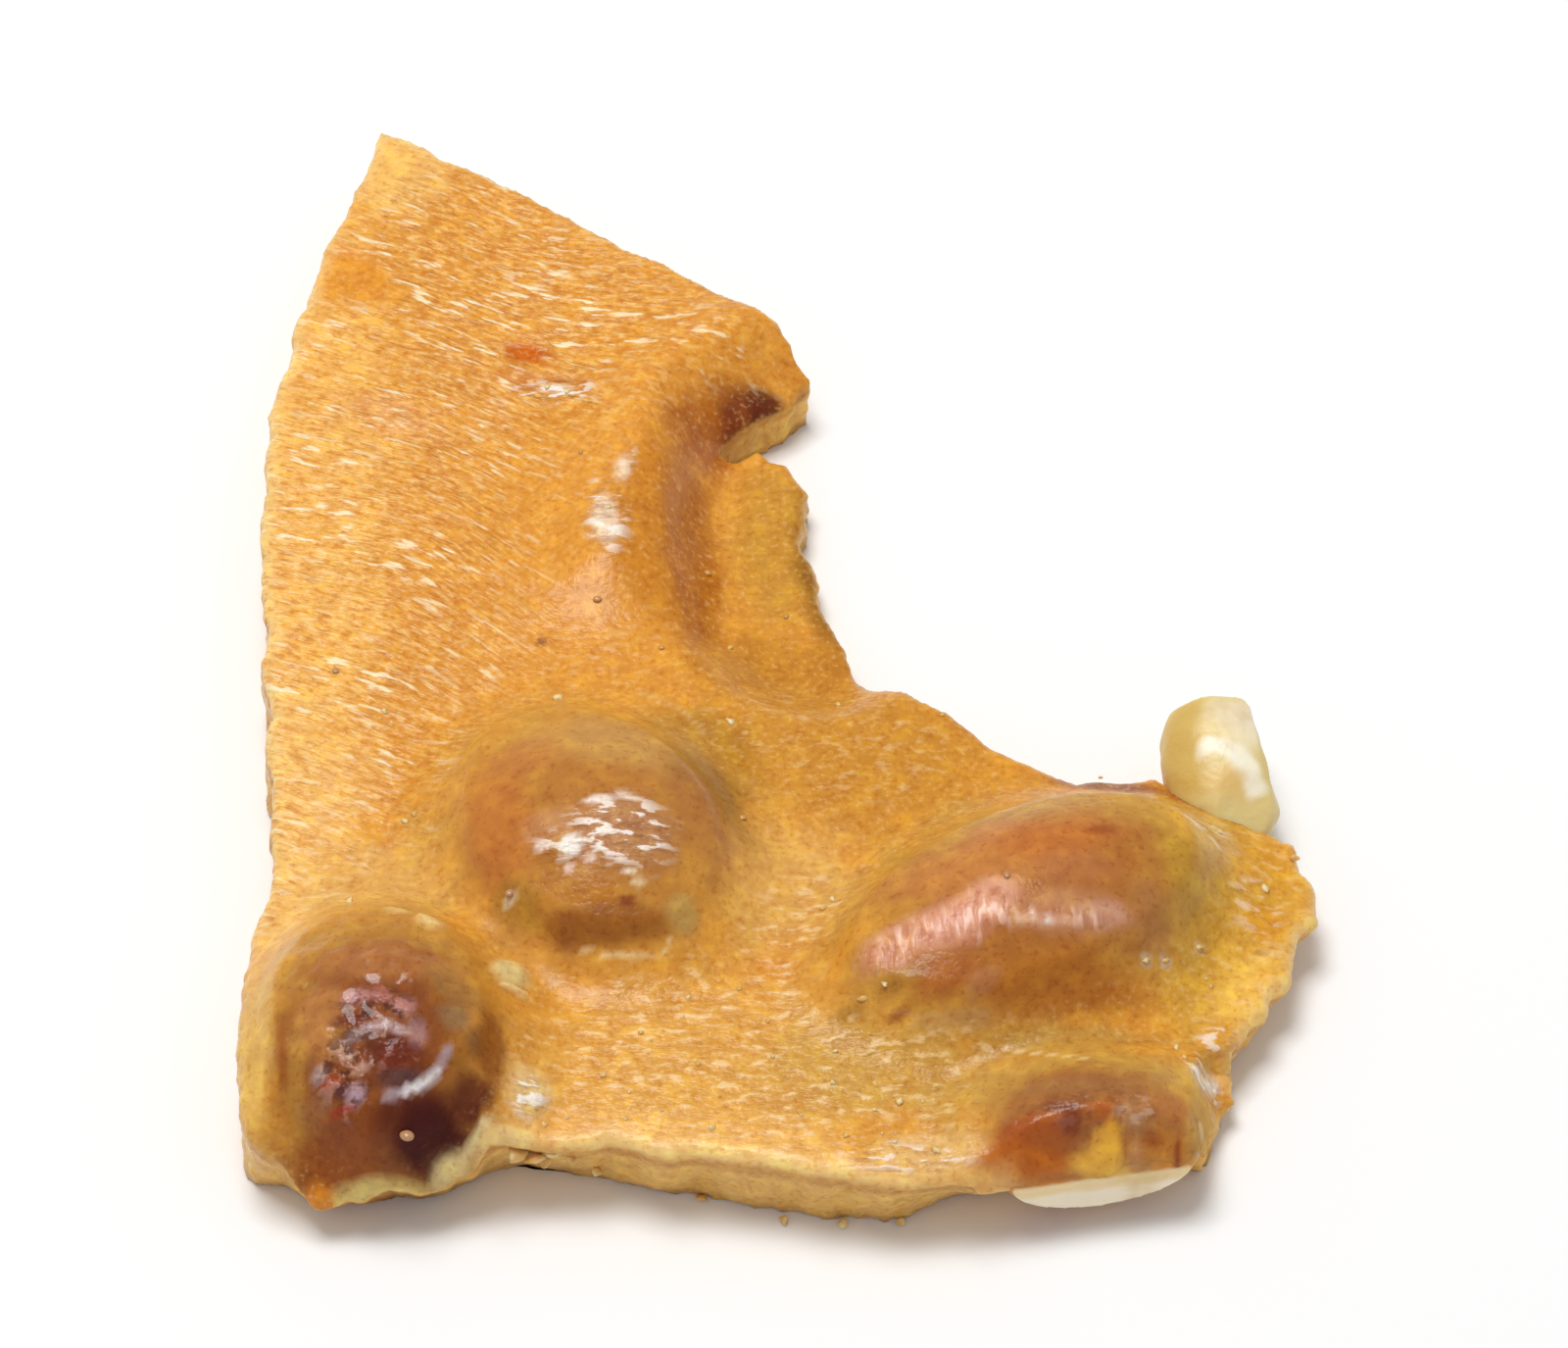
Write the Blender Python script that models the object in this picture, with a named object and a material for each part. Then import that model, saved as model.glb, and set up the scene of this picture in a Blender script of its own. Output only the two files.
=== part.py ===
"""One broken shard of peanut brittle: a poured sheet of candy with five peanut kernels in it.

The shard lies on the flat underside on which it cooled. +X is its right, -Y its front edge and
+Z up, with the origin under the middle of its box. All sizes below are millimetres, and MM turns
them into metres where a mesh is made.
"""
import math

import bmesh
import bpy
import numpy as np
from mathutils import Matrix, Vector, noise

MM = 0.001

# Thickness of the poured sheet, of its thin right-hand lobe and of its stretched wing
SHEET = 4.6
LOBE = 3.3
WING = 2.3
# The lobe thins out between these two places along X
LOBE_FROM = 0.0
LOBE_TO = 20.0

# Corners of the shard seen from above, clockwise from the far tip
FAR_EDGE = [(-20.4, 32.6), (-8.5, 24.8), (-0.6, 18.9), (1.8, 15.9)]
NOTCH = [(-3.1, 11.7), (-0.9, 12.2)]
WING_EDGE = [(0.5, 11.2), (1.6, 9.4), (1.1, 6.2), (2.9, 0.2), (4.2, -3.1), (6.2, -4.8), (10.0, -8.0)]
LOBE_EDGE = [(14.0, -10.1), (17.7, -9.4), (24.0, -13.0), (25.2, -17.6), (23.1, -21.4), (20.5, -25.1)]
LOW_FLAP = [(20.8, -26.8), (19.4, -29.0), (19.1, -30.6), (18.0, -31.8)]
FRONT_EDGE = [(9.5, -33.1), (5.0, -33.2), (1.7, -32.7), (-3.4, -31.7), (-7.3, -31.0), (-12.0, -31.3)]
LIP = [(-15.2, -32.6), (-20.3, -33.1), (-23.3, -30.8)]
LEFT_EDGE = [(-24.0, -25.2), (-23.8, -19.8), (-23.0, -15.0), (-23.9, -8.0), (-25.1, 12.6), (-24.1, 18.8)]
OUTLINE = FAR_EDGE + NOTCH + WING_EDGE + LOBE_EDGE + LOW_FLAP + FRONT_EDGE + LIP + LEFT_EDGE

# A broken edge runs in steps of about this length, each thrown off the straight line by up to JAG
EDGE_STEP = 1.2
JAG = 0.45
JAG_LENGTH = 2.6
# Second place in the noise, for shifts that must not follow the first
ELSEWHERE = Vector((31.0, 7.3, 0.0))

# Points this near a cutting plane lie on it, and points this near each other are one
ON_PLANE = 0.00001
WELD = 0.2
# The top is cut into squares of this size, and the wall into rows at these parts of its height
GRID = 1.35
WALL_ROWS = (0.66, 0.3, 0.0)
# Crumbs of about this length stand out of the broken wall by up to this much at its foot
CRUMB = 1.7
WALL_ROUGHNESS = 0.45
# The front wall leans in: how far its foot lies behind its top edge, at these places along X
LEAN_X = (-24.0, -21.0, -14.0, -11.0, -7.0, -3.4, -1.0, 5.0, 9.5, 18.0, 20.0)
FOOT_LEAN = (0.4, 1.0, 1.2, 2.0, 1.2, 0.9, 0.4, 0.9, 2.6, 2.8, 0.6)
FRONT_WALL = (-29.0, -32.0)
# The lobe's side leans in by this much at its foot, all of it past the second of these places
LOBE_UNDERCUT = 1.6
LOBE_WALL = (19.0, 23.0)

# Where the sheet was pulled while soft: a crest, the hollow beside it and the thin wing
CREST = [(-7.9, 2.9), (-8.0, 7.8), (-5.7, 12.9), (-2.0, 16.8)]
CREST_HEIGHT = 1.3
CREST_WIDTH = 3.2
HOLLOW = [(-3.3, -0.8), (-4.1, 3.5), (-3.4, 8.4), (-2.2, 11.6)]
HOLLOW_DEPTH = 0.8
HOLLOW_WIDTH = 1.5
WING_SPINE = [(-0.2, 12.4), (1.9, -1.0)]
WING_FLAT = 2.2
WING_FOOT = 6.6
# Slow waves left in the top by pouring
WAVE_HEIGHT = 0.22
WAVE_LENGTH = 9.0

# Each kernel: place of its middle, length, width and height, turn and tilt of its length in degrees
KERNELS = {
    "peanut_1": ((-17.7, -26.0, 4.8), (11.4, 10.0, 8.0), 280.0, 0.0),
    "peanut_2": ((-8.5, -14.4, 4.4), (13.6, 11.2, 7.2), 125.0, 0.0),
    "peanut_3": ((11.3, -18.8, 4.5), (18.0, 9.2, 7.4), 207.0, 0.0),
    "peanut_4": ((14.1, -30.2, 3.4), (9.8, 7.4, 5.0), 4.0, 0.0),
    "peanut_5": ((20.9, -9.2, 3.1), (9.0, 5.6, 4.4), 279.0, -14.0),
}
# The candy climbs each kernel at this slope and leaves this much of its crown bare
COLLAR_SLOPE = 1.15
COLLAR_WALL = 0.8
COLLAR_END_WALL = 1.5
CROWN_SHOWS = 1.3
FILLET = 2.2
FIT_GAP = 0.3
# The last kernel sticks out of the far wall, so the candy makes no collar round it
COLLARED = ("peanut_1", "peanut_2", "peanut_3", "peanut_4")
KERNEL_SIDES = 20
KERNEL_RINGS = 12
# A kernel thins by this share towards its pointed end, and by more past this part of its length
KERNEL_TAPER = 0.14
POINT_TAPER = 0.35
POINT_FROM = 0.3

# The candy is only a ledge under the end of the first kernel, and a low flap at the front right
LEDGE_HEIGHT = 2.2
LEDGE_RISE = 1.2
LEDGE_FRONT = -33.1
LEDGE_END = -13.2
LEDGE_END_RISE = 1.5
FLAP_HEIGHT = 1.8
FLAP_RISE = 1.1
FLAP_SIDE = 20.0
FLAP_BACK = -25.4
FLAP_BACK_RISE = 2.0

# Two kernels are broken: one by the front fracture, which also sloped back over it and the candy
# from a low edge, and one across its side and its outer end
FRONT_CRACK = ((13.7, -32.3, 0.0), (0.163, -0.987, 0.0))
CRACK_EDGE = 3.4
CRACK_RISE = 1.5
CRACK_LEFT = 9.0
CRACK_LEFT_RISE = 2.0
SIDE_CRACK = ((22.9, -8.0, 3.0), (0.96, 0.16, 0.2))
END_CRACK = ((20.9, -5.6, 3.0), (-0.2, 0.95, 0.24))

CANDY = ("#D9A04A", 0.35)
SKIN = ("#8E4526", 0.4)
COTYLEDON = ("#E6DDB4", 0.5)


def linear(colour):
    """An sRGB hex colour as linear red, green, blue and alpha."""
    parts = [int(colour[i:i + 2], 16) / 255.0 for i in (1, 3, 5)]
    parts = [c / 12.92 if c <= 0.04045 else ((c + 0.055) / 1.055) ** 2.4 for c in parts]
    return (*parts, 1.0)


def make_object(name, bm, finish):
    """Puts a finished bmesh into an object of its own, with a material of its own."""
    colour, roughness = finish
    mesh = bpy.data.meshes.new(name)
    bm.to_mesh(mesh)
    bm.free()
    mesh.shade_smooth()
    mesh.set_sharp_from_angle(angle=math.radians(35.0))
    material = bpy.data.materials.new(name)
    material.use_nodes = True
    shader = material.node_tree.nodes["Principled BSDF"]
    shader.inputs["Base Color"].default_value = linear(colour)
    shader.inputs["Roughness"].default_value = roughness
    shader.inputs["Metallic"].default_value = 0.0
    mesh.materials.append(material)
    thing = bpy.data.objects.new(name, mesh)
    bpy.context.scene.collection.objects.link(thing)
    return thing


def ramp(low, high, value):
    """0 up to low, 1 from high on, and a smooth step between them."""
    t = min(max((value - low) / (high - low), 0.0), 1.0)
    return t * t * (3.0 - 2.0 * t)


def highest(a, b, width):
    """The higher of two heights, with a round fillet where they meet."""
    overlap = max(width - abs(a - b), 0.0) / width
    return max(a, b) + overlap * overlap * width / 4.0


def distance(x, y, run):
    """How far a point is from an open run of straight pieces."""
    best = math.inf
    for (x0, y0), (x1, y1) in zip(run, run[1:]):
        dx, dy = x1 - x0, y1 - y0
        t = ((x - x0) * dx + (y - y0) * dy) / (dx * dx + dy * dy)
        t = min(max(t, 0.0), 1.0)
        best = min(best, math.hypot(x - x0 - t * dx, y - y0 - t * dy))
    return best


def collar(x, y, kernel):
    """Height of the candy that climbs a kernel, flat inside its rim and falling away outside."""
    (cx, cy, cz), (length, width, height), turn, _ = kernel
    rim_height = cz + height / 2.0 - CROWN_SHOWS
    part = (rim_height - cz) / (height / 2.0)
    spread = math.sqrt(1.0 - part * part)
    c, s = math.cos(math.radians(turn)), math.sin(math.radians(turn))
    along = (x - cx) * c + (y - cy) * s
    across = (y - cy) * c - (x - cx) * s
    reach = math.hypot(along / (spread * length / 2.0 + COLLAR_END_WALL),
                       across / (spread * width / 2.0 + COLLAR_WALL))
    if reach <= 1.0:
        return rim_height
    outside = math.hypot(along, across) * (1.0 - 1.0 / reach)
    return rim_height - COLLAR_SLOPE * outside


def top_height(x, y):
    """Height of the candy's upper face above the flat underside."""
    z = SHEET - (SHEET - LOBE) * ramp(LOBE_FROM, LOBE_TO, x)
    z -= (SHEET - WING) * (1.0 - ramp(WING_FLAT, WING_FOOT, distance(x, y, WING_SPINE)))
    z += CREST_HEIGHT * math.exp(-(distance(x, y, CREST) / CREST_WIDTH) ** 2)
    z -= HOLLOW_DEPTH * math.exp(-(distance(x, y, HOLLOW) / HOLLOW_WIDTH) ** 2)
    z += WAVE_HEIGHT * noise.noise(Vector((x, y, 0.0)) / WAVE_LENGTH)
    for name in COLLARED:
        z = highest(z, collar(x, y, KERNELS[name]), FILLET)
    from_lip = max(y - LEDGE_FRONT, 0.0) + LEDGE_END_RISE * max(x - LEDGE_END, 0.0)
    from_flap = max(FLAP_SIDE - x, 0.0) + FLAP_BACK_RISE * max(y - FLAP_BACK, 0.0)
    (crack_x, crack_y, _), (out_x, out_y, _) = FRONT_CRACK
    from_crack = max((crack_x - x) * out_x + (crack_y - y) * out_y, 0.0)
    z = min(z, LEDGE_HEIGHT + LEDGE_RISE * from_lip)
    z = min(z, CRACK_EDGE + CRACK_RISE * from_crack + CRACK_LEFT_RISE * max(CRACK_LEFT - x, 0.0))
    return min(z, FLAP_HEIGHT + FLAP_RISE * from_flap)


def broken_edge(corners):
    """Points along the closed outline, thrown off each straight run as a fracture is."""
    points = []
    gone = 0.0
    for (x0, y0), (x1, y1) in zip(corners, corners[1:] + corners[:1]):
        length = math.hypot(x1 - x0, y1 - y0)
        steps = max(round(length / EDGE_STEP), 1)
        for i in range(steps):
            t = i / steps
            jag = JAG * noise.noise(ELSEWHERE + Vector(((gone + t * length) / JAG_LENGTH, 0.0, 0.0)))
            jag *= ramp(0.0, 1.0, min(t, 1.0 - t) * length)
            points.append((x0 + t * (x1 - x0) + jag * (y1 - y0) / length,
                           y0 + t * (y1 - y0) - jag * (x1 - x0) / length))
        gone += length
    return points


def wall_shift(x, y, part):
    """Sideways shift of a wall point at a part of the wall's height: crumbly, and leaning in."""
    place = Vector((x, y, SHEET * part)) / CRUMB
    rough = WALL_ROUGHNESS * (1.0 - part)
    side = LOBE_UNDERCUT * (1.0 - part) * ramp(*LOBE_WALL, x)
    lean = float(np.interp(x, LEAN_X, FOOT_LEAN)) * (1.0 - part) * ramp(*FRONT_WALL, y)
    return (rough * noise.noise(place) - side, rough * noise.noise(place + ELSEWHERE) + lean)


def candy_sheet():
    """The shard of candy: a gridded top, a broken wall in rows and a flat underside."""
    bm = bmesh.new()
    rim = [bm.verts.new((x * MM, y * MM, 0.0)) for x, y in broken_edge(OUTLINE)]
    bm.faces.new(rim)
    for axis in (0, 1):
        normal = Vector((1.0, 0.0, 0.0)) if axis == 0 else Vector((0.0, 1.0, 0.0))
        low = min(v.co[axis] for v in bm.verts)
        high = max(v.co[axis] for v in bm.verts)
        cuts = int((high - low) / (GRID * MM))
        for i in range(1, cuts + 1):
            place = normal * (low + (high - low) * i / (cuts + 1))
            everything = bm.verts[:] + bm.edges[:] + bm.faces[:]
            bmesh.ops.bisect_plane(bm, geom=everything, dist=ON_PLANE * MM, plane_co=place, plane_no=normal)
    bmesh.ops.remove_doubles(bm, verts=bm.verts[:], dist=WELD * MM)
    for v in bm.verts:
        v.co.z = top_height(v.co.x / MM, v.co.y / MM) * MM
    ring = [e for e in bm.edges if e.is_boundary]
    tops = {v: v.co.copy() for e in ring for v in e.verts}
    for part in WALL_ROWS:
        above = {(v.co.x, v.co.y, v.co.z): tops[v] for v in tops}
        made = bmesh.ops.extrude_edge_only(bm, edges=ring)["geom"]
        ring = [g for g in made if isinstance(g, bmesh.types.BMEdge)]
        tops = {v: above[tuple(v.co)] for v in made if isinstance(v, bmesh.types.BMVert)}
        for v, top in tops.items():
            dx, dy = wall_shift(top.x / MM, top.y / MM, part)
            v.co = Vector((top.x + dx * MM, top.y + dy * MM, top.z * part))
    bmesh.ops.edgeloop_fill(bm, edges=ring)
    bmesh.ops.triangulate(bm, faces=bm.faces[:])
    bmesh.ops.recalc_face_normals(bm, faces=bm.faces[:])
    return bm


def kernel_shape(kernel, grown=0.0):
    """A whole kernel: blunt at one end, drawn to a small point at the other, grown all over."""
    place, (length, width, height), turn, tilt = kernel
    bm = bmesh.new()
    bmesh.ops.create_uvsphere(bm, u_segments=KERNEL_SIDES, v_segments=KERNEL_RINGS, radius=0.5,
                              matrix=Matrix.Rotation(math.radians(90.0), 4, "Y"))
    for v in bm.verts:
        girth = 1.0 - KERNEL_TAPER * v.co.x - POINT_TAPER * max(v.co.x - POINT_FROM, 0.0)
        v.co = Vector((v.co.x * length, v.co.y * width * girth, v.co.z * height * girth)) * MM
    bm.normal_update()
    for v in bm.verts:
        v.co += v.normal * grown * MM
    stand = Matrix.Translation(Vector(place) * MM)
    stand = stand @ Matrix.Rotation(math.radians(turn), 4, "Z")
    stand = stand @ Matrix.Rotation(math.radians(-tilt), 4, "Y")
    bmesh.ops.transform(bm, matrix=stand, verts=bm.verts[:])
    return bm


def crack_off(bm, crack):
    """Takes away what lies past a crack and closes the kernel with the flat cut face."""
    place, normal = crack
    everything = bm.verts[:] + bm.edges[:] + bm.faces[:]
    cut = bmesh.ops.bisect_plane(bm, geom=everything, dist=ON_PLANE * MM, plane_co=Vector(place) * MM,
                                 plane_no=Vector(normal), clear_outer=True)["geom_cut"]
    bmesh.ops.edgeloop_fill(bm, edges=[g for g in cut if isinstance(g, bmesh.types.BMEdge)])
    bmesh.ops.recalc_face_normals(bm, faces=bm.faces[:])


for old in list(bpy.data.objects):
    bpy.data.objects.remove(old, do_unlink=True)

candy = make_object("candy_slab", candy_sheet(), CANDY)

# Pockets in the candy, a fitting gap larger than the kernels all round
pockets = bmesh.new()
for kernel in KERNELS.values():
    pocket = bpy.data.meshes.new("pocket")
    grown = kernel_shape(kernel, grown=FIT_GAP)
    grown.to_mesh(pocket)
    grown.free()
    pockets.from_mesh(pocket)
    bpy.data.meshes.remove(pocket)
cutter = make_object("kernel_pockets", pockets, CANDY)
cutter.hide_render = True
cutter.display_type = "WIRE"
carve = candy.modifiers.new("kernel pockets", "BOOLEAN")
carve.operation = "DIFFERENCE"
carve.solver = "EXACT"
carve.object = cutter

for name, kernel in KERNELS.items():
    bm = kernel_shape(kernel)
    finish = SKIN
    if name == "peanut_4":
        crack_off(bm, FRONT_CRACK)
        (x, y, _), (out_x, out_y, _) = FRONT_CRACK
        slope = (CRACK_RISE * out_x, CRACK_RISE * out_y, 1.0)
        crack_off(bm, ((x, y, CRACK_EDGE - FIT_GAP), slope))
    if name == "peanut_5":
        crack_off(bm, SIDE_CRACK)
        crack_off(bm, END_CRACK)
        finish = COTYLEDON
    make_object(name, bm, finish)
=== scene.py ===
import math

import bmesh
import bpy
import numpy as np
from mathutils import Matrix, Vector, noise


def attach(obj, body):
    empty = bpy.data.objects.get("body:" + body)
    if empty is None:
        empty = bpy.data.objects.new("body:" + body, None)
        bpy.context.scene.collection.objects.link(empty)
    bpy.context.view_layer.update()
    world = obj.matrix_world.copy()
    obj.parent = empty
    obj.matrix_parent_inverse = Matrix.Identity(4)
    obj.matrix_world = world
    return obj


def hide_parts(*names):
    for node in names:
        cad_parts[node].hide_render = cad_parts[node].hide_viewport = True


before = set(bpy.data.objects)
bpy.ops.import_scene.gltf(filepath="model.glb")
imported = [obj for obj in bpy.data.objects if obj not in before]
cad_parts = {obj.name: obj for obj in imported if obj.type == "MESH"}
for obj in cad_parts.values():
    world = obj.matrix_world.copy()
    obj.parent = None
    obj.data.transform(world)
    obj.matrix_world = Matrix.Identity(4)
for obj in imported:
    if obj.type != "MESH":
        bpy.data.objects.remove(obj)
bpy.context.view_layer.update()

# Candy: a sheet of boiled sugar and butter that was poured, pulled thin at one side while it was
# soft, and snapped cold. It sets as a film over four of the kernels and holds the fifth by its
# edge. Lengths are millimetres in the part's frame, and MM turns them into metres.

MM = 0.001
SHEET, LOBE, WING = 4.6, 3.3, 2.3
LOBE_FROM, LOBE_TO = 0.0, 20.0
FAR_EDGE = [(-20.4, 32.6), (-8.5, 24.8), (-0.6, 18.9), (1.8, 15.9)]
NOTCH = [(-3.1, 11.7), (-0.9, 12.2)]
WING_EDGE = [(0.5, 11.2), (1.6, 9.4), (1.1, 6.2), (2.9, 0.2), (4.2, -3.1), (6.2, -4.8), (10.0, -8.0)]
LOBE_EDGE = [(14.0, -10.1), (17.7, -9.4), (24.0, -13.0), (25.2, -17.6), (23.1, -21.4), (20.5, -25.1)]
LOW_FLAP = [(20.8, -26.8), (19.4, -29.0), (19.1, -30.6), (18.0, -31.8)]
FRONT_EDGE = [(9.5, -33.1), (5.0, -33.2), (1.7, -32.7), (-3.4, -31.7), (-7.3, -31.0), (-12.0, -31.3)]
LIP = [(-15.2, -32.6), (-20.3, -33.1), (-23.3, -30.8)]
LEFT_EDGE = [(-24.0, -25.2), (-23.8, -19.8), (-23.0, -15.0), (-23.9, -8.0), (-25.1, 12.6), (-24.1, 18.8)]
OUTLINE = FAR_EDGE + NOTCH + WING_EDGE + LOBE_EDGE + LOW_FLAP + FRONT_EDGE + LIP + LEFT_EDGE

# Broken edge: step along it, and how far and over what length it is thrown off the straight line
EDGE_STEP = 0.3
JAG, JAG_LENGTH = 0.45, 2.6
FINE_JAG, FINE_JAG_LENGTH = 0.16, 0.6
SCALLOP, SCALLOP_LENGTH, SCALLOPED, SCALLOP_REST = 1.1, 1.5, (19.5, 22.5), 0.3
FINE_ROW, SCALLOP_ROW = 5.0, 9.0    # where in the noise the two are read
BITE, BITE_DEPTH, BITE_WIDTH = (24.9, -19.4), 0.9, 0.8
ELSEWHERE = Vector((31.0, 7.3, 0.0))
VOXEL = 0.232

# Relief of the top: crest, hollow and thin wing left by the pull, and slow waves of the pour
CREST, CREST_HEIGHT, CREST_WIDTH = [(-7.9, 2.9), (-8.0, 7.8), (-5.7, 12.9), (-2.0, 16.8)], 1.3, 3.2
HOLLOW, HOLLOW_DEPTH, HOLLOW_WIDTH = [(-3.3, -0.8), (-4.1, 3.5), (-3.4, 8.4), (-2.2, 11.6)], 0.8, 1.5
WING_SPINE, WING_FLAT, WING_FOOT = [(-0.2, 12.4), (1.9, -1.0)], 2.2, 6.6
WAVE_HEIGHT, WAVE_LENGTH = 0.22, 9.0

# Kernels: place of the middle, length, width and height, turn and tilt of the length in degrees
KERNELS = {
    "peanut_1": ((-17.7, -26.0, 4.8), (11.4, 10.0, 8.0), 280.0, 0.0),
    "peanut_2": ((-8.5, -14.4, 4.4), (13.6, 11.2, 7.2), 125.0, 0.0),
    "peanut_3": ((11.3, -18.8, 4.5), (18.0, 9.2, 7.4), 207.0, 0.0),
    "peanut_4": ((14.1, -30.2, 3.4), (9.8, 7.4, 5.0), 4.0, 0.0),
    "peanut_5": ((20.9, -9.2, 3.1), (9.0, 5.6, 4.4), 279.0, -14.0),
}
FILMED = ("peanut_1", "peanut_2", "peanut_3", "peanut_4")
KERNEL_TAPER, POINT_TAPER, POINT_FROM = 0.14, 0.35, 0.3
# Candy climbs each kernel to a rim and crosses its crown as a film
COLLAR_SLOPE, COLLAR_WALL, COLLAR_END_WALL, CROWN_SHOWS, FILLET = 1.15, 0.8, 1.5, 1.3, 2.2
FILM, FILM_FILLET, FILM_FALL = 0.4, 1.1, 2.6
# Flat flakes of sugar set into the surface: middle, half sizes, turn and height
FLAKES = [((-15.4, -21.1), (0.95, 0.8), 20, 0.3), ((-16.9, -20.6), (0.8, 0.35), -15, 0.15),
          ((-11.9, -22.6), (0.9, 0.95), 10, 0.4), ((-11.6, -23.6), (0.75, 0.2), -8, 0.25)]
# The first kernel's skin has shrunk into wrinkles under its glaze
WRINKLE_HEIGHT, WRINKLE_LENGTH, FOLD_LENGTH, SHRUNK_TO = 0.35, 2.2, 1.0, (0.75, 1.05)

# Low places: the ledge under the first kernel's end, the flap, and the crack across the fourth
LEDGE_HEIGHT, LEDGE_RISE, LEDGE_FRONT, LEDGE_END, LEDGE_END_RISE = 2.2, 1.2, -33.1, -13.2, 1.5
FLAP_HEIGHT, FLAP_RISE, FLAP_SIDE, FLAP_BACK, FLAP_BACK_RISE = 1.8, 2.4, 19.7, -25.4, 2.0
CRACK_X, CRACK_Y, OUT_X, OUT_Y = 13.7, -32.5, 0.163, -0.987
FRONT_CRACK, CRACK_EDGE, CRACK_RISE = ((CRACK_X, CRACK_Y, 0.0), (OUT_X, OUT_Y, 0.0)), 3.4, 1.5
CRACK_LEFT, CRACK_LEFT_RISE = 9.0, 2.0

# Wall: crumbs that stand out of it towards its foot, how far the foot of the front wall lies behind
# its top edge at places along X, and how far the lobe's side leans in
CRUMB, WALL_ROUGHNESS, FINE_CRUMB, FINE_ROUGHNESS = 1.7, 0.45, 0.7, 0.15
EDGE_ROUND, EDGE_WIDTH, LOBE_ROUND = 0.22, 0.6, 0.55
LEAN_X = (-24.0, -21.0, -14.0, -11.0, -7.0, -3.4, -1.0, 5.0, 9.5, 18.0, 20.0)
FOOT_LEAN = (0.8, 1.6, 1.8, 2.4, 1.2, 0.9, 0.4, 0.9, 2.6, 2.8, 0.6)
FRONT_WALL, LOBE_UNDERCUT, LOBE_WALL = (-32.0, -29.0), 1.6, (19.0, 23.0)
FRONT_SMOOTH, FRONT_FINE = 0.6, 0.5
# Shares of the height that count as flat at the faces and over which the fracture fades at the top
FLAT_SHARE, SMOOTH_TOP = 0.02, (0.85, 1.0)
# Distances from the edge are measured up to the first, and taken as the second beyond it
NEAR_EDGE, DEEP_INSIDE = 3.0, 9.0


def ramp(low, high, value):
    """0 up to low, 1 from high on, and a smooth step between them."""
    t = np.clip((value - low) / (high - low), 0.0, 1.0)
    return t * t * (3.0 - 2.0 * t)


def highest(a, b, width):
    """The higher of two heights, with a round fillet where they meet."""
    overlap = np.maximum(width - np.abs(a - b), 0.0) / width
    return np.maximum(a, b) + overlap * overlap * width / 4.0


def distance(x, y, run):
    """How far points are from an open run of straight pieces."""
    best = np.full_like(x, np.inf)
    for (x0, y0), (x1, y1) in zip(run, run[1:]):
        dx, dy = x1 - x0, y1 - y0
        t = np.clip(((x - x0) * dx + (y - y0) * dy) / (dx * dx + dy * dy), 0.0, 1.0)
        best = np.minimum(best, np.hypot(x - x0 - t * dx, y - y0 - t * dy))
    return best


def rough(x, y, z, size, shift=(0.0, 0.0, 0.0)):
    """Noise of that grain size at the points, from about -1 to 1."""
    shift = Vector(shift)
    return np.array([noise.noise(Vector(p) / size + shift) for p in zip(x, y, z)])


def across_kernel(x, y, kernel):
    """Places along and across a kernel, and its girth there as a share of its middle's."""
    (cx, cy, _), (length, _, _), turn, _ = kernel
    c, s = math.cos(math.radians(turn)), math.sin(math.radians(turn))
    along, across = (x - cx) * c + (y - cy) * s, (y - cy) * c - (x - cx) * s
    part = np.clip(along / length, -0.5, 0.5)
    return along, across, 1.0 - KERNEL_TAPER * part - POINT_TAPER * np.maximum(part - POINT_FROM, 0.0)


def reach(x, y, kernel):
    """0 over a kernel's middle, 1 at the edge of it and its film as seen from above, more outside."""
    along, across, girth = across_kernel(x, y, kernel)
    length, width, _ = kernel[1]
    return np.hypot(along / (length / 2.0 + FILM), across / (width / 2.0 * girth + FILM))


def collar(x, y, kernel):
    """Height of the candy that climbs a kernel, flat inside its rim and falling away outside."""
    (_, _, cz), (length, width, height), _, _ = kernel
    rim_height = cz + height / 2.0 - CROWN_SHOWS
    part = (rim_height - cz) / (height / 2.0)
    spread = math.sqrt(1.0 - part * part)
    along, across, _ = across_kernel(x, y, kernel)
    r = np.hypot(along / (spread * length / 2.0 + COLLAR_END_WALL),
                 across / (spread * width / 2.0 + COLLAR_WALL))
    return rim_height - COLLAR_SLOPE * np.hypot(along, across) * (1.0 - 1.0 / np.maximum(r, 1.0))


def film_dome(x, y, kernel):
    """Height of the film over a kernel."""
    r = reach(x, y, kernel)
    girth = across_kernel(x, y, kernel)[2]
    (_, _, cz), (_, width, height), _, _ = kernel
    dome = cz + (height / 2.0 * girth + FILM) * np.sqrt(np.maximum(1.0 - r * r, 0.0))
    return dome - FILM_FALL * np.maximum(r - 1.0, 0.0) * width / 2.0


# A patch is full up to the first share of its half sizes and gone at the second
PATCH_FULL, PATCH_GONE, PATCH_WANDER = 0.45, 1.15, 0.22


def patch_weight(x, y, wander, place, size, turn, strength):
    """How strongly a patch marks each point: full inside, with an edge that wanders."""
    c, s = math.cos(math.radians(turn)), math.sin(math.radians(turn))
    u, v = x - place[0], y - place[1]
    r = np.hypot((u * c + v * s) / size[0], (v * c - u * s) / size[1])
    return strength * (1.0 - ramp(PATCH_FULL, PATCH_GONE, r + PATCH_WANDER * wander))


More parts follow.
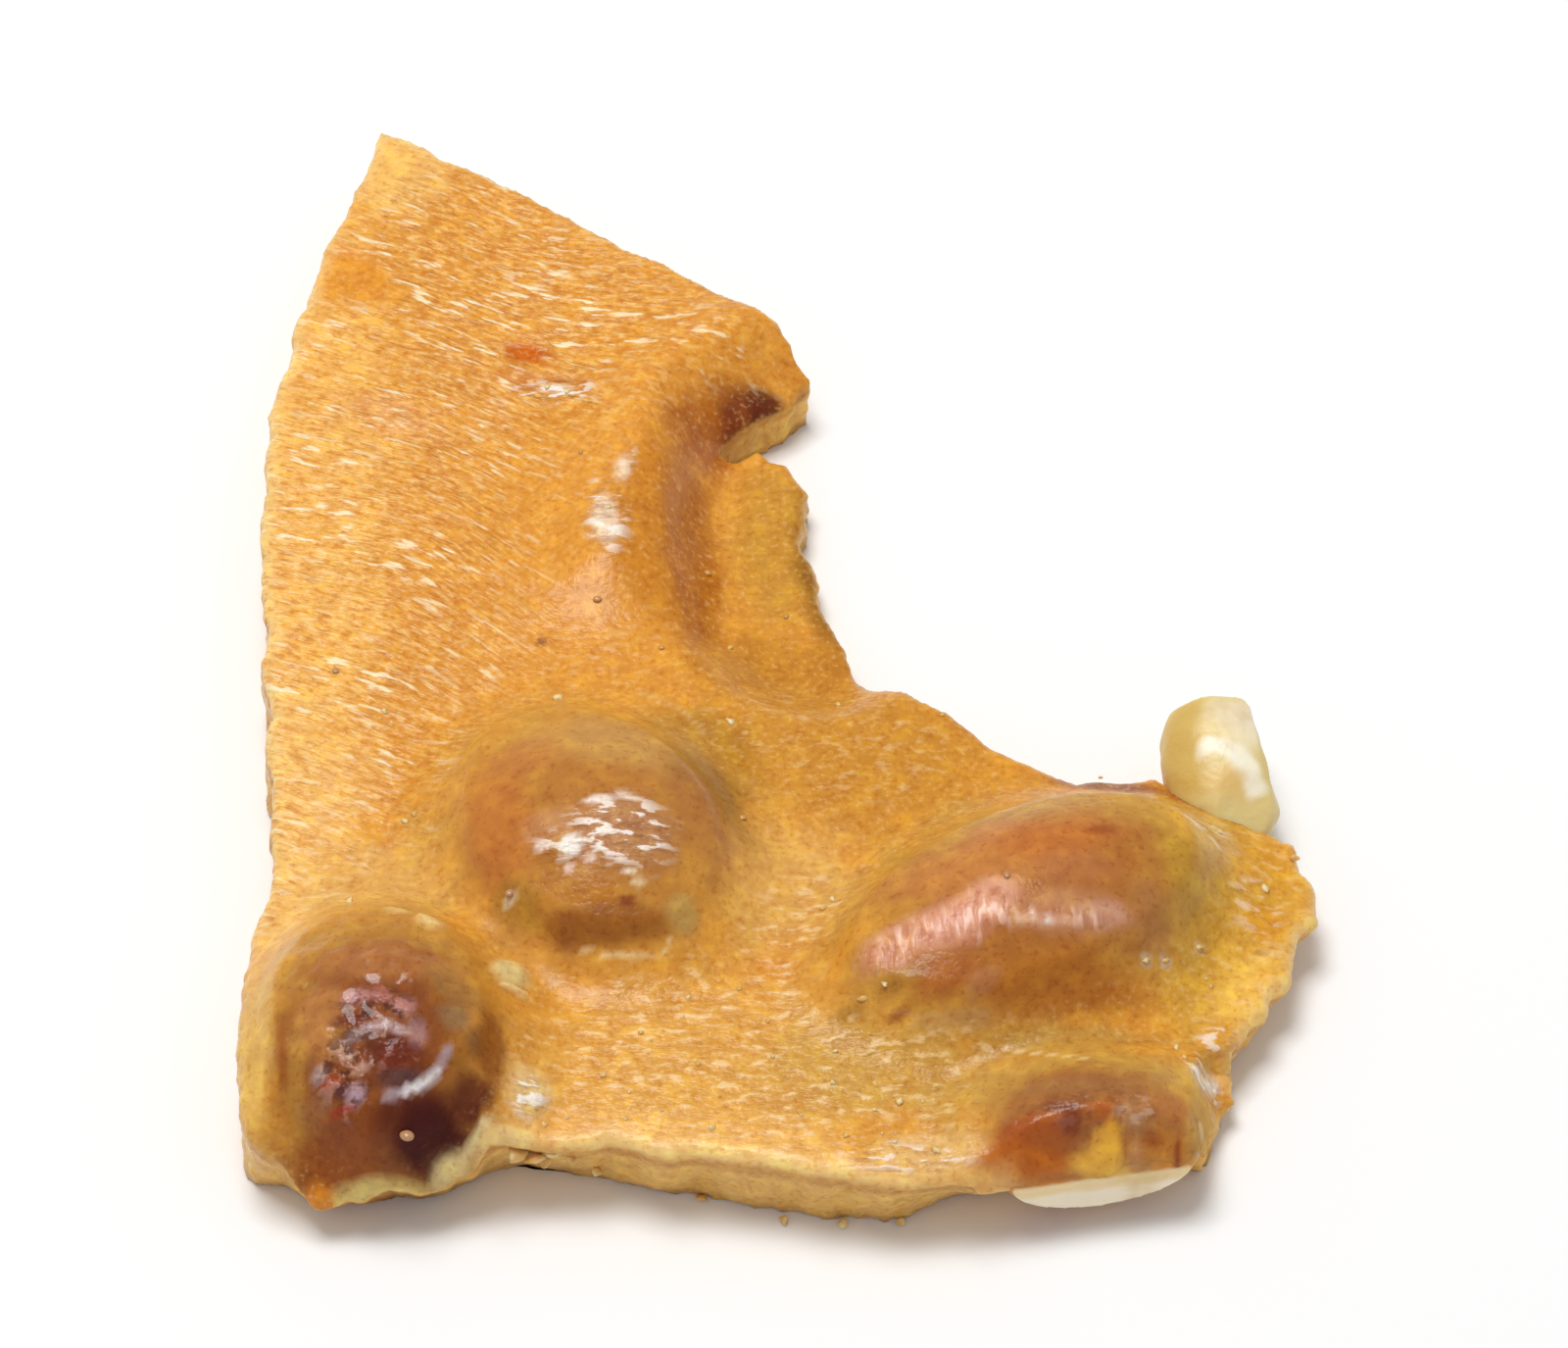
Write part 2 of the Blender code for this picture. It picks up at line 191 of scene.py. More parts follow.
def top_height(x, y):
    """Height of the candy's upper face above the flat underside."""
    z = SHEET - (SHEET - LOBE) * ramp(LOBE_FROM, LOBE_TO, x)
    z -= (SHEET - WING) * (1.0 - ramp(WING_FLAT, WING_FOOT, distance(x, y, WING_SPINE)))
    z += CREST_HEIGHT * np.exp(-(distance(x, y, CREST) / CREST_WIDTH) ** 2)
    z -= HOLLOW_DEPTH * np.exp(-(distance(x, y, HOLLOW) / HOLLOW_WIDTH) ** 2)
    z += WAVE_HEIGHT * rough(x, y, 0.0 * x, WAVE_LENGTH)
    for name in FILMED:
        z = highest(z, collar(x, y, KERNELS[name]), FILLET)
    from_lip = np.maximum(y - LEDGE_FRONT, 0.0) + LEDGE_END_RISE * np.maximum(x - LEDGE_END, 0.0)
    from_flap = np.maximum(FLAP_SIDE - x, 0.0) + FLAP_BACK_RISE * np.maximum(y - FLAP_BACK, 0.0)
    z = np.minimum(z, LEDGE_HEIGHT + LEDGE_RISE * from_lip)
    for name in FILMED:
        z = highest(z, film_dome(x, y, KERNELS[name]), FILM_FILLET)
    shrunk = 1.0 - ramp(*SHRUNK_TO, reach(x, y, KERNELS["peanut_1"]))
    folds = np.abs(rough(x, y, 0.0 * x, FOLD_LENGTH, ELSEWHERE))
    z += WRINKLE_HEIGHT * shrunk * (rough(x, y, 0.0 * x, WRINKLE_LENGTH) - folds)
    for flake in FLAKES:
        z += patch_weight(x, y, 0.0, *flake)
    from_crack = np.maximum((CRACK_X - x) * OUT_X + (CRACK_Y - y) * OUT_Y, 0.0)
    z = np.minimum(z, CRACK_EDGE + CRACK_RISE * from_crack + CRACK_LEFT_RISE * np.maximum(CRACK_LEFT - x, 0.0))
    return np.minimum(z, FLAP_HEIGHT + FLAP_RISE * from_flap)


def broken_edge(corners):
    """Points along the closed outline, thrown off each straight run as a fracture is."""
    points = []
    gone = 0.0
    for (x0, y0), (x1, y1) in zip(corners, corners[1:] + corners[:1]):
        length = math.hypot(x1 - x0, y1 - y0)
        steps = max(round(length / EDGE_STEP), 1)
        for i in range(steps):
            t = i / steps
            place = gone + t * length
            jag = JAG * noise.noise(ELSEWHERE + Vector((place / JAG_LENGTH, 0.0, 0.0)))
            jag += FINE_JAG * noise.noise(ELSEWHERE + Vector((place / FINE_JAG_LENGTH, FINE_ROW, 0.0)))
            jag *= min(min(t, 1.0 - t) * length, 1.0)
            x, y = x0 + t * (x1 - x0), y0 + t * (y1 - y0)
            bay = SCALLOP_REST - abs(noise.noise(ELSEWHERE + Vector((place / SCALLOP_LENGTH, SCALLOP_ROW, 0.0))))
            jag += SCALLOP * bay * min(max((x - SCALLOPED[0]) / (SCALLOPED[1] - SCALLOPED[0]), 0.0), 1.0)
            jag += BITE_DEPTH * math.exp(-(math.dist((x, y), BITE) / BITE_WIDTH) ** 2)
            points.append((x + jag * (y1 - y0) / length, y - jag * (x1 - x0) / length))
        gone += length
    return points


def even_mesh(bm, voxel):
    """Remeshes a closed shape into small even quads and gives it back as a mesh."""
    rough_mesh = bpy.data.meshes.new("rough")
    bm.to_mesh(rough_mesh)
    bm.free()
    rough_thing = bpy.data.objects.new("rough", rough_mesh)
    bpy.context.scene.collection.objects.link(rough_thing)
    remesh = rough_thing.modifiers.new("even", "REMESH")
    remesh.mode = "VOXEL"
    remesh.voxel_size = voxel * MM
    shaped = rough_thing.evaluated_get(bpy.context.evaluated_depsgraph_get())
    mesh = bpy.data.meshes.new_from_object(shaped)
    bpy.data.objects.remove(rough_thing, do_unlink=True)
    bpy.data.meshes.remove(rough_mesh)
    return mesh


def points_of(mesh):
    """The mesh's points in millimetres, as three arrays."""
    co = np.empty(len(mesh.vertices) * 3)
    mesh.vertices.foreach_get("co", co)
    return co.reshape(-1, 3).T / MM


def move_points(mesh, x, y, z):
    """Puts the mesh's points at these places in millimetres."""
    mesh.vertices.foreach_set("co", np.stack([x, y, z], 1).ravel() * MM)
    mesh.update()


def candy_mesh():
    """The shard: its outline raised to a flat sheet, remeshed, then stretched to its relief."""
    bm = bmesh.new()
    edge = broken_edge(OUTLINE)
    rim = bm.faces.new([bm.verts.new((x * MM, y * MM, 0.0)) for x, y in edge])
    raised = bmesh.ops.extrude_face_region(bm, geom=[rim])["geom"]
    for v in raised:
        if isinstance(v, bmesh.types.BMVert):
            v.co.z = SHEET * MM
    bmesh.ops.recalc_face_normals(bm, faces=bm.faces[:])
    mesh = even_mesh(bm, VOXEL)
    x, y, z = points_of(mesh)
    part = np.clip(z / SHEET, 0.0, 1.0)
    part[part < FLAT_SHARE] = 0.0
    part[part > 1.0 - FLAT_SHARE] = 1.0
    inset = np.full_like(x, DEEP_INSIDE)
    near = distance(x, y, OUTLINE + OUTLINE[:1]) < NEAR_EDGE
    inset[near] = distance(x[near], y[near], edge + edge[:1])
    lobe = ramp(*LOBE_WALL, x)
    rounding = (EDGE_ROUND + (LOBE_ROUND - EDGE_ROUND) * lobe) * (1.0 - np.minimum(inset / EDGE_WIDTH, 1.0)) ** 2
    z = part * (top_height(x, y) - rounding)
    low = 1.0 - part
    place = (x / CRUMB, y / CRUMB, SHEET * part / CRUMB)
    front = 1.0 - ramp(*FRONT_WALL, y)
    lean = np.interp(x, LEAN_X, FOOT_LEAN) * low * front
    side = LOBE_UNDERCUT * low * lobe
    fine = FINE_ROUGHNESS * (1.0 - ramp(*SMOOTH_TOP, part)) * (1.0 - FRONT_FINE * front)
    coarse = WALL_ROUGHNESS * low * (1.0 - FRONT_SMOOTH * front)
    dx = coarse * rough(*place, 1.0) + fine * rough(x, y, z, FINE_CRUMB) - side
    dy = coarse * rough(*place, 1.0, ELSEWHERE) + fine * rough(x, y, z, FINE_CRUMB, ELSEWHERE)
    move_points(mesh, x + dx, y + dy + lean, z)
    return mesh, part, inset


def linear(colour):
    """An sRGB hex colour as linear red, green, blue and alpha."""
    parts = [int(colour[i:i + 2], 16) / 255.0 for i in (1, 3, 5)]
    parts = [c / 12.92 if c <= 0.04045 else ((c + 0.055) / 1.055) ** 2.4 for c in parts]
    return (*parts, 1.0)


def keep_values(mesh, name, values, kind="FLOAT"):
    """Keeps a value, colour or vector for each point of the mesh, for its material to read."""
    attribute = mesh.attributes.new(name, kind, "POINT")
    field = {"FLOAT": "value", "FLOAT_COLOR": "color", "FLOAT_VECTOR": "vector"}[kind]
    attribute.data.foreach_set(field, np.ascontiguousarray(values, dtype=np.float32).ravel())


# Candy's colours: middle and half sizes of each patch, its turn in degrees, its colour and strength
GOLD = "#DC9634"
SLAB_PATCHES = [
    ((-13.0, 12.0), (13.0, 24.0), 0, "#E39B38", 0.8),    # pulled slab
    ((-23.0, 2.0), (5.0, 34.0), 0, "#F3B554", 0.9),      # its thin left side
    ((-22.5, -14.0), (3.5, 11.0), 0, "#F2BC66", 0.8),    # lower left
    ((-18.0, -17.5), (4.5, 4.0), 0, "#DFAC5C", 0.7),     # paler, between two of the kernels
    ((-20.0, 30.5), (4.5, 5.0), -30, "#F4C068", 0.8),    # far tip
    ((-21.5, 21.9), (3.2, 2.4), -30, "#DE9028", 0.9),    # smooth patch by the tip
    ((-18.9, 12.3), (3.5, 1.6), -25, "#E8A45C", 0.7),    # pinkish patch
    ((-12.4, 16.5), (1.5, 0.8), -20, "#C86000", 0.97),   # orange spot
    ((-12.1, 14.6), (2.6, 1.0), -10, "#D98A3C", 0.7),
    ((-5.6, 5.5), (2.6, 7.5), -8, "#C87E1E", 0.8),       # painted shade on the steep flank of the crest
    ((-3.9, 3.5), (1.6, 7.5), 3, "#B46800", 0.92),       # orange-brown hollow beside it, deepened by painted shade
    ((-3.3, 12.4), (1.8, 3.2), -25, "#AE5C0E", 0.85),    # its head by the notch, in painted shade
    ((-1.6, 13.6), (1.9, 1.9), -30, "#7E340A", 0.92),    # painted shadow cast under the crest by a neighbouring shard
    ((-0.6, 14.2), (1.2, 1.1), -30, "#5E1E06", 0.9),
    ((-8.2, 4.4), (0.8, 1.9), 5, "#FFF2DC", 0.65),       # painted glints on the crest
    ((-7.4, 7.7), (0.5, 1.2), -10, "#FFEFD4", 0.55),
    ((-11.0, 14.1), (1.0, 0.3), -5, "#FFF2DC", 0.7),     # painted glints below the orange spot
    ((19.2, -26.7), (0.6, 1.3), -35, "#FFF6E4", 0.9),    # painted highlight on the rim over the flap
    ((0.2, 5.6), (2.8, 6.5), 8, "#C99232", 0.9),         # wing
    ((2.5, 4.2), (1.9, 6.5), 6, "#8E5C10", 0.88),        # its thin outer side
    ((0.6, -3.0), (5.0, 3.5), 0, "#C08020", 0.8),        # foot of the wing
    ((3.5, -9.0), (9.0, 6.0), -20, "#CA8C2C", 0.85),     # middle
    ((-3.3, -9.0), (3.6, 2.4), -30, "#AE7818", 0.75),    # olive-brown dip above the second kernel
    ((0.3, -17.0), (4.5, 4.5), 0, "#DCA858", 0.8),       # paler, between the second and third
    ((-2.0, -27.5), (12.0, 6.0), 0, "#E0A648", 0.8),     # front
    ((4.2, -27.2), (6.0, 3.0), 0, "#C99A44", 0.75),      # front, towards the fourth kernel
    ((-3.0, -31.0), (9.0, 1.6), -5, "#EDB458", 0.8),     # gold strip along the front edge
    ((7.0, -31.6), (3.0, 1.4), 0, "#EBC078", 0.8),
    ((20.5, -18.0), (6.5, 9.0), 0, "#DCA63A", 0.9),      # lobe
    ((19.3, -18.0), (1.6, 4.5), -10, "#CA982E", 0.8),    # olive strip beside the third kernel
    ((22.2, -15.0), (1.8, 2.0), 20, "#DC9C28", 0.7),
    ((22.4, -18.2), (1.2, 1.2), 20, "#DA9426", 0.7),
    ((21.4, -21.8), (1.6, 2.6), -30, "#F4C254", 0.85),
    ((19.8, -14.4), (1.5, 1.9), -20, "#EABC70", 0.6),    # frosty patch by its far edge
    ((15.5, -10.3), (3.5, 0.9), -5, "#84401A", 0.85),    # dark band along its far edge
    ((19.0, -11.0), (0.9, 0.6), -20, "#A8480F", 0.9),    # orange spot on that edge
    ((20.6, -12.0), (2.6, 0.35), -18, "#AA6A24", 0.8),
    ((-11.1, -2.3), (0.35, 0.3), 0, "#8A4410", 0.8),     # pits
    ((-20.8, -4.1), (0.35, 0.3), 0, "#B8722A", 0.8),
    ((22.1, -19.9), (0.5, 0.16), 10, "#9A6024", 0.8),
]
KERNEL_PATCHES = [
    ((-8.5, -14.4), (8.6, 9.6), 30, "#C79440", 0.8),     # second kernel: tan ring of candy
    ((-8.4, -15.8), (6.2, 6.0), 0, "#B47430", 0.85),     # skin through the film
    ((-3.2, -12.0), (1.8, 3.4), 35, "#9C6A10", 0.92),    # olive-brown side of the ring
    ((-12.6, -15.0), (2.0, 4.6), 10, "#C07632", 0.9),    # orange left side
    ((-11.2, -11.6), (2.4, 1.6), 20, "#C07C38", 0.8),
    ((-7.6, -10.8), (3.8, 2.2), -10, "#C6924A", 0.8),    # tan top
    ((-3.5, -14.8), (1.6, 3.4), 15, "#AC7034", 0.8),     # brown right side
    ((-7.2, -20.6), (3.0, 1.0), 4, "#985A1A", 0.85),     # brown lower side, the skin darkened there by painted shade
    ((-9.6, -20.6), (1.2, 0.7), -20, "#8E4E1A", 0.6),
    ((-8.3, -19.4), (1.7, 0.6), 0, "#BA761C", 0.85),
    ((-6.7, -19.7), (0.5, 0.32), 0, "#7E2C0E", 0.8),
    ((-4.1, -19.9), (1.0, 0.9), 40, "#B2965A", 0.6),     # grey-green
    ((-11.6, -19.3), (1.6, 1.0), -40, "#B2822E", 0.7),
    ((-7.0, -16.6), (3.0, 2.2), 5, "#C08A5E", 0.8),      # painted pinkish sheen
    ((-10.4, -16.2), (1.2, 1.1), 0, "#C8905E", 0.7),
    ((-9.2, -17.3), (0.62, 0.6), 20, "#FFFAF4", 0.95),   # painted white glints
    ((-8.0, -14.9), (0.9, 0.3), 8, "#FFF2E8", 0.9),
    ((-6.6, -14.7), (0.7, 0.25), -5, "#FFEEE0", 0.8),
    ((-10.6, -17.1), (0.4, 0.3), 0, "#FCE6D8", 0.9),
    ((-8.3, -17.9), (0.35, 0.3), 0, "#FADECF", 0.9),
    ((-9.3, -18.3), (0.25, 0.3), 0, "#FADECF", 0.8),
    ((-6.6, -18.5), (0.4, 0.16), 0, "#FFF0DC", 0.9),
    ((-6.2, -18.9), (0.35, 0.25), -20, "#EAD8B0", 0.8),
    ((-12.0, -19.0), (0.35, 0.3), 0, "#D0BEA6", 0.8),
    ((11.3, -18.8), (10.8, 7.2), 27, "#BE9440", 0.8),    # third kernel: tan ring
    ((11.4, -19.8), (8.7, 4.9), 22, "#B06C2C", 0.95),    # skin
    ((9.8, -18.0), (6.2, 2.5), 20, "#C68240", 0.9),      # orange-tan upper side
    ((12.6, -17.4), (3.2, 1.5), 10, "#BE7030", 0.85),
    ((14.7, -16.6), (0.7, 0.32), 10, "#944416", 0.75),
    ((13.6, -18.8), (2.6, 1.2), 5, "#B87440", 0.8),
    ((5.8, -22.0), (2.4, 1.3), 28, "#DEA07A", 0.9),      # painted pink highlight band
    ((8.3, -21.4), (2.4, 1.3), 14, "#E0A084", 0.95),
    ((9.9, -20.4), (1.4, 1.2), 0, "#E2A888", 0.9),
    # the painted highlight band runs on to the right, with a painted white glint
    ((13.2, -20.9), (3.0, 1.2), 8, "#C48A60", 0.8),
    ((12.0, -21.4), (1.6, 0.35), 3, "#E2B296", 0.85),
    ((14.6, -20.8), (1.5, 0.6), 10, "#CC9A80", 0.8),
    ((12.2, -21.4), (0.25, 0.2), 0, "#FFFCF4", 0.95),
    ((16.9, -20.2), (1.1, 1.7), 20, "#AE7440", 0.75),    # dull right end
    ((18.3, -20.0), (1.0, 1.4), 20, "#BE8E3E", 0.5),
    ((18.4, -17.6), (0.9, 2.2), 15, "#BE9230", 0.7),
    ((12.8, -23.6), (5.0, 1.3), 8, "#B67022", 0.9),      # brown lower side
    ((7.6, -23.9), (1.8, 0.9), 20, "#AC6028", 0.85),
    ((5.6, -23.9), (1.3, 0.45), 15, "#AC7A2A", 0.6),     # olive strip under the pink
    ((9.2, -24.0), (1.1, 0.5), 30, "#B87E56", 0.5),      # mauve mark
    ((5.5, -25.0), (0.8, 0.3), 15, "#8E3C12", 0.75),     # red-brown lower end
    ((3.3, -24.6), (0.9, 0.4), 0, "#946024", 0.6),
    ((7.9, -25.3), (2.0, 0.5), 8, "#C0945C", 0.5),
    ((13.6, -25.6), (5.0, 0.9), 8, "#B68C40", 0.7),      # olive below it
    ((16.7, -21.8), (0.28, 0.3), 0, "#CDB89A", 0.8),     # pale marks at its right end
    ((17.6, -21.5), (0.32, 0.3), 0, "#D0C0AC", 0.8),
    ((19.2, -20.4), (0.3, 0.26), 30, "#DCC49A", 0.8),
    ((-17.8, -26.4), (7.0, 8.2), 0, "#B88438", 0.85),    # first kernel: brown ring
    ((-17.6, -28.2), (5.1, 5.6), 0, "#8A4616", 0.95),    # red-brown glaze
    ((-20.0, -27.4), (1.5, 2.0), 0, "#BE8040", 0.85),    # amber upper left
    ((-17.4, -24.4), (3.8, 1.3), 0, "#B0703A", 0.8),     # top
    ((-14.4, -25.2), (1.6, 1.0), -30, "#A0703A", 0.7),
    ((-12.5, -27.6), (0.8, 2.6), 0, "#86460F", 0.85),    # brown right rim
    ((-18.7, -31.9), (2.7, 1.3), 0, "#8E4610", 0.9),     # orange-brown foot
    ((-21.7, -28.3), (0.26, 2.0), 4, "#944812", 0.6),    # red-brown line
    ((-21.0, -29.0), (0.45, 2.4), 0, "#BE8A3A", 0.7),    # amber strip inside it
    ((-16.6, -29.1), (1.5, 1.1), 0, "#6E240E", 0.9),     # hollow in the middle
    ((-16.3, -30.0), (1.4, 0.5), 8, "#54383C", 0.8),     # purple-grey beside the painted highlight arc
    ((-15.2, -31.2), (2.9, 1.4), 14, "#541208", 0.95),   # dark maroon skin
    ((-15.0, -31.3), (1.8, 0.9), 10, "#400604", 0.75),
    ((-13.4, -29.9), (1.2, 0.9), 25, "#5E200C", 0.9),
    ((-14.1, -26.9), (0.9, 0.8), 0, "#967650", 0.7),     # grey-green thin part
    ((-13.2, -27.7), (0.5, 0.9), 0, "#744A28", 0.7),
    ((-13.8, -28.7), (0.9, 0.4), 40, "#96601E", 0.8),    # gold streak beyond the painted highlight arc
    ((-18.6, -27.6), (1.2, 0.35), 8, "#6E2410", 0.8),    # red line under the fragments
    ((-18.4, -26.6), (0.75, 0.5), 10, "#BE8884", 0.92),  # mauve fragments round the hollow: painted reflections of the light, broken by the wrinkles
    ((-17.4, -26.4), (0.65, 0.55), -15, "#A86256", 0.85),
    ((-16.3, -26.9), (0.65, 0.55), 25, "#BC8078", 0.9),
    ((-15.7, -28.0), (0.55, 0.85), 0, "#B48480", 0.85),
    ((-17.9, -27.1), (0.28, 0.4), 0, "#4E1C14", 0.85),
    # more painted glints of pale mauve, with red and dark marks between them
    ((-19.1, -28.7), (0.42, 0.32), 0, "#C09478", 0.85),
    ((-18.7, -29.1), (0.4, 0.24), 0, "#CCA68C", 0.85),
    ((-18.1, -29.7), (0.5, 0.3), 20, "#BE8E78", 0.85),
    ((-19.9, -29.6), (0.5, 0.34), -10, "#C0A29E", 0.85),
    ((-19.4, -30.0), (0.55, 0.25), 0, "#A2300F", 0.85),
    ((-18.9, -30.4), (0.45, 0.34), 0, "#4A2430", 0.85),
    ((-18.3, -30.6), (0.55, 0.42), 20, "#C4A4AE", 0.9),
    ((-19.0, -31.0), (0.8, 0.16), 5, "#A0260C", 0.8),
    ((-23.2, -27.5), (1.2, 5.0), 0, "#E2B45C", 0.9),     # pale band on the left
    ((-17.4, -32.9), (3.4, 0.5), 0, "#DCC678", 0.95),    # pale lip
    ((-14.3, -32.0), (1.0, 0.5), 30, "#D2BC86", 0.9),
    ((-13.0, -31.0), (0.9, 0.3), 35, "#DCC894", 0.9),
    ((-11.8, -31.2), (1.6, 0.6), 15, "#E4C88A", 0.8),
    ((-20.1, -32.9), (0.9, 0.6), 0, "#D47E14", 0.9),     # orange drop
    ((-10.9, -28.9), (1.2, 1.6), 0, "#E6C488", 0.8),     # frosted candy beside it
    ((-15.4, -21.1), (0.95, 0.8), 20, "#EBCB88", 0.9),   # pale flakes set into the surface
    ((-16.9, -20.6), (0.8, 0.35), -15, "#E6C07C", 0.7),
    ((-11.9, -22.6), (0.9, 0.95), 10, "#DCC484", 0.9),
    ((-11.6, -23.6), (0.75, 0.16), -8, "#F4DA9A", 0.9),
    ((13.4, -28.6), (8.0, 3.0), 4, "#C49A4A", 0.85),     # tan candy round the fourth kernel
    ((19.2, -29.5), (1.5, 2.5), 0, "#D6A44A", 0.9),
    ((13.7, -30.3), (5.2, 3.0), 0, "#A06030", 0.9),      # its skin under frost
    ((13.2, -29.2), (3.4, 0.6), 0, "#A2703E", 0.7),
    ((11.4, -31.4), (2.3, 1.0), 8, "#AA5418", 0.92),     # orange glaze
    ((11.0, -32.2), (2.6, 0.6), 2, "#BE6412", 0.95),
    ((12.6, -30.4), (1.0, 0.5), 0, "#8C5030", 0.8),      # mauve-brown top
    ((13.0, -31.0), (0.6, 0.45), 20, "#7C300E", 0.8),    # dark red
    ((14.5, -30.5), (1.0, 0.35), 0, "#B6601E", 0.85),
    ((14.9, -31.05), (0.4, 0.4), 0, "#E8A42C", 0.95),    # amber window
    ((14.6, -31.5), (0.85, 0.5), 0, "#EDB03C", 0.97),
    ((14.3, -32.0), (1.5, 0.45), 0, "#EFB444", 0.97),
    ((16.0, -30.5), (1.1, 0.7), 0, "#BE8A58", 0.8),      # frosted right part
    ((17.3, -30.0), (1.3, 1.0), 0, "#B0703A", 0.9),
    ((16.7, -31.1), (0.9, 0.2), 0, "#963C10", 0.9),      # red line
    ((17.7, -31.4), (0.22, 0.5), 0, "#963C10", 0.9),
    ((17.0, -31.6), (0.6, 0.34), 0, "#CA8028", 0.85),
    ((15.9, -31.5), (0.45, 0.4), 0, "#CC8F5C", 0.85),
    ((18.5, -30.6), (0.5, 1.0), 0, "#C09450", 0.8),
]
# Broken walls: tan, with a painted shadow line under the upper edge and a foot darkened by painted shade, by share
# of the height
WALL_TAN, WALL_SHADOW_LINE, WALL_SHADED_FOOT = "#E4B25E", "#C08034", "#BE8840"
TAN_TO, LINE_FROM, LINE_TO, FOOT_TO, ON_TOP = (0.9, 0.99), (0.7, 0.8), (0.84, 0.95), (0.0, 0.3), (0.86, 0.98)
LINE_STRENGTH, FOOT_STRENGTH = 0.6, 0.7
# Glaze hides most of the walls' colours by the first kernel: by how much, and in which reaches
GLAZED, GLAZED_TO = 0.75, (0.9, 1.3)
# Pale rims: middle, half sizes, turn, strength and how far in they reach
RIM = "#FAD48C"
RIMMED = [((-24.0, 8.0), (3.0, 30.0), 0, 0.8, 1.0), ((-20.0, 31.0), (4.0, 4.0), 0, 0.6, 1.0),
          ((-12.0, 26.0), (9.0, 5.0), -35, 0.5, 0.5), ((-1.5, -32.0), (12.5, 3.0), -5, 0.9, 1.1),
          ((23.0, -21.0), (4.5, 7.5), 0, 0.75, 0.8), ((1.5, 5.0), (2.5, 9.0), 0, 0.3, 0.2)]
# Painted highlights along seams and creases that catch the light: run, half width, colour, strength
HIGHLIGHT_LINES = [([(-17.0, -30.7), (-16.3, -30.5), (-15.5, -30.1), (-14.8, -29.4), (-14.3, -28.4)], 0.26, "#B49EA6", 0.75),
         ([(-16.2, -30.45), (-15.5, -30.1), (-14.8, -29.4)], 0.22, "#EFE8EC", 0.85),
         ([(-18.6, -28.4), (-17.9, -28.1), (-17.0, -27.9), (-16.3, -28.1)], 0.32, "#CBB0B2", 0.85),
         ([(-9.1, -21.3), (-7.6, -21.7), (-5.0, -21.6), (-4.7, -20.9)], 0.11, "#E8C68C", 0.8),
         ([(-6.4, -5.4), (-4.5, -6.4), (-3.2, -8.1)], 0.14, "#DDB878", 0.6),
         ([(10.2, -26.1), (13.9, -27.3)], 0.12, "#EBD09A", 0.7),
         ([(6.3, -15.3), (8.7, -14.6), (10.8, -14.5)], 0.12, "#DDB068", 0.5)]

# Where the surface is drawn out in streaks, flecked, frosted with fine folds and painted glints,
# pleated, wrinkled, glassy or dull: middle, half sizes, turn and strength
STREAKED = [((-14.0, 20.0), (13.0, 14.0), 0, 1.0), ((-19.5, 4.0), (9.0, 20.0), 0, 1.0),
            ((-23.5, -10.0), (3.5, 12.0), 0, 0.8), ((-5.0, 19.0), (6.0, 4.0), -35, 0.8)]
UNSTREAKED = [((-21.5, 21.9), (3.2, 2.0), -30, 0.95), ((-5.0, 3.0), (4.0, 10.0), 0, 0.95),
              ((-12.4, 16.5), (1.4, 0.8), -20, 0.9)]
FLECKED = [((-1.0, -27.0), (13.0, 6.5), 0, 1.0), ((-22.0, -15.0), (4.0, 9.0), 0, 0.7),
           ((-12.0, -3.0), (9.0, 4.0), 0, 0.4), ((21.0, -18.0), (6.0, 9.0), 0, 0.5),
           ((3.0, -8.0), (7.0, 5.0), -20, 0.4), ((1.5, -20.0), (3.5, 5.0), 0, 0.9)]
# frost, with painted glints on the second kernel and on the crest
FROST_AND_GLINTS = [((-6.9, -16.4), (2.7, 2.3), 5, 1.0), ((-9.6, -17.2), (1.6, 0.9), 0, 0.8),
           ((-10.9, -29.0), (0.9, 1.2), -20, 1.0), ((-8.1, 4.9), (1.2, 3.1), 0, 1.0),
           ((-7.2, 8.2), (0.5, 1.2), -10, 0.6), ((-11.0, 13.9), (2.4, 0.9), -5, 1.0),
           ((19.6, -14.2), (1.7, 1.4), -20, 0.5), ((16.2, -30.4), (1.4, 0.8), 0, 0.2),
           ((20.0, -24.6), (1.2, 0.8), 30, 0.7), ((19.2, -26.6), (0.9, 1.1), 40, 1.0),
           ((22.0, -17.4), (1.6, 1.8), 0, 0.3), ((5.5, -31.8), (3.4, 0.9), -5, 0.8)]
PLEATED = [((5.6, -22.2), (2.2, 1.0), 28, 0.8), ((9.0, -21.2), (2.4, 1.3), 14, 1.0),
           ((13.0, -21.2), (2.4, 0.5), 5, 0.6)]
WRINKLED = [((-17.4, -27.4), (2.3, 1.6), 0, 1.0), ((-18.9, -29.9), (1.4, 1.8), 20, 1.0),
            ((-16.4, -29.2), (1.6, 1.2), 0, 0.5), ((13.6, -30.4), (4.0, 1.2), 5, 0.3)]
GLASSY = [((-18.2, -27.3), (3.6, 3.6), 0, 0.35), ((12.4, -31.4), (4.0, 2.0), 0, 0.15),
          ((20.5, -27.5), (2.2, 3.0), 0, 0.05)]
DULL = [((-15.4, -31.0), (3.0, 2.2), 20, 0.9), ((-17.8, -31.8), (4.5, 1.6), 0, 0.6),
        ((-0.9, 14.4), (3.0, 3.0), 0, 1.0), ((-11.8, -21.5), (1.6, 2.6), 0, 0.9),
        ((18.8, -29.6), (1.4, 2.4), 0, 0.9), ((16.8, -20.4), (2.0, 2.4), 0, 0.5)]


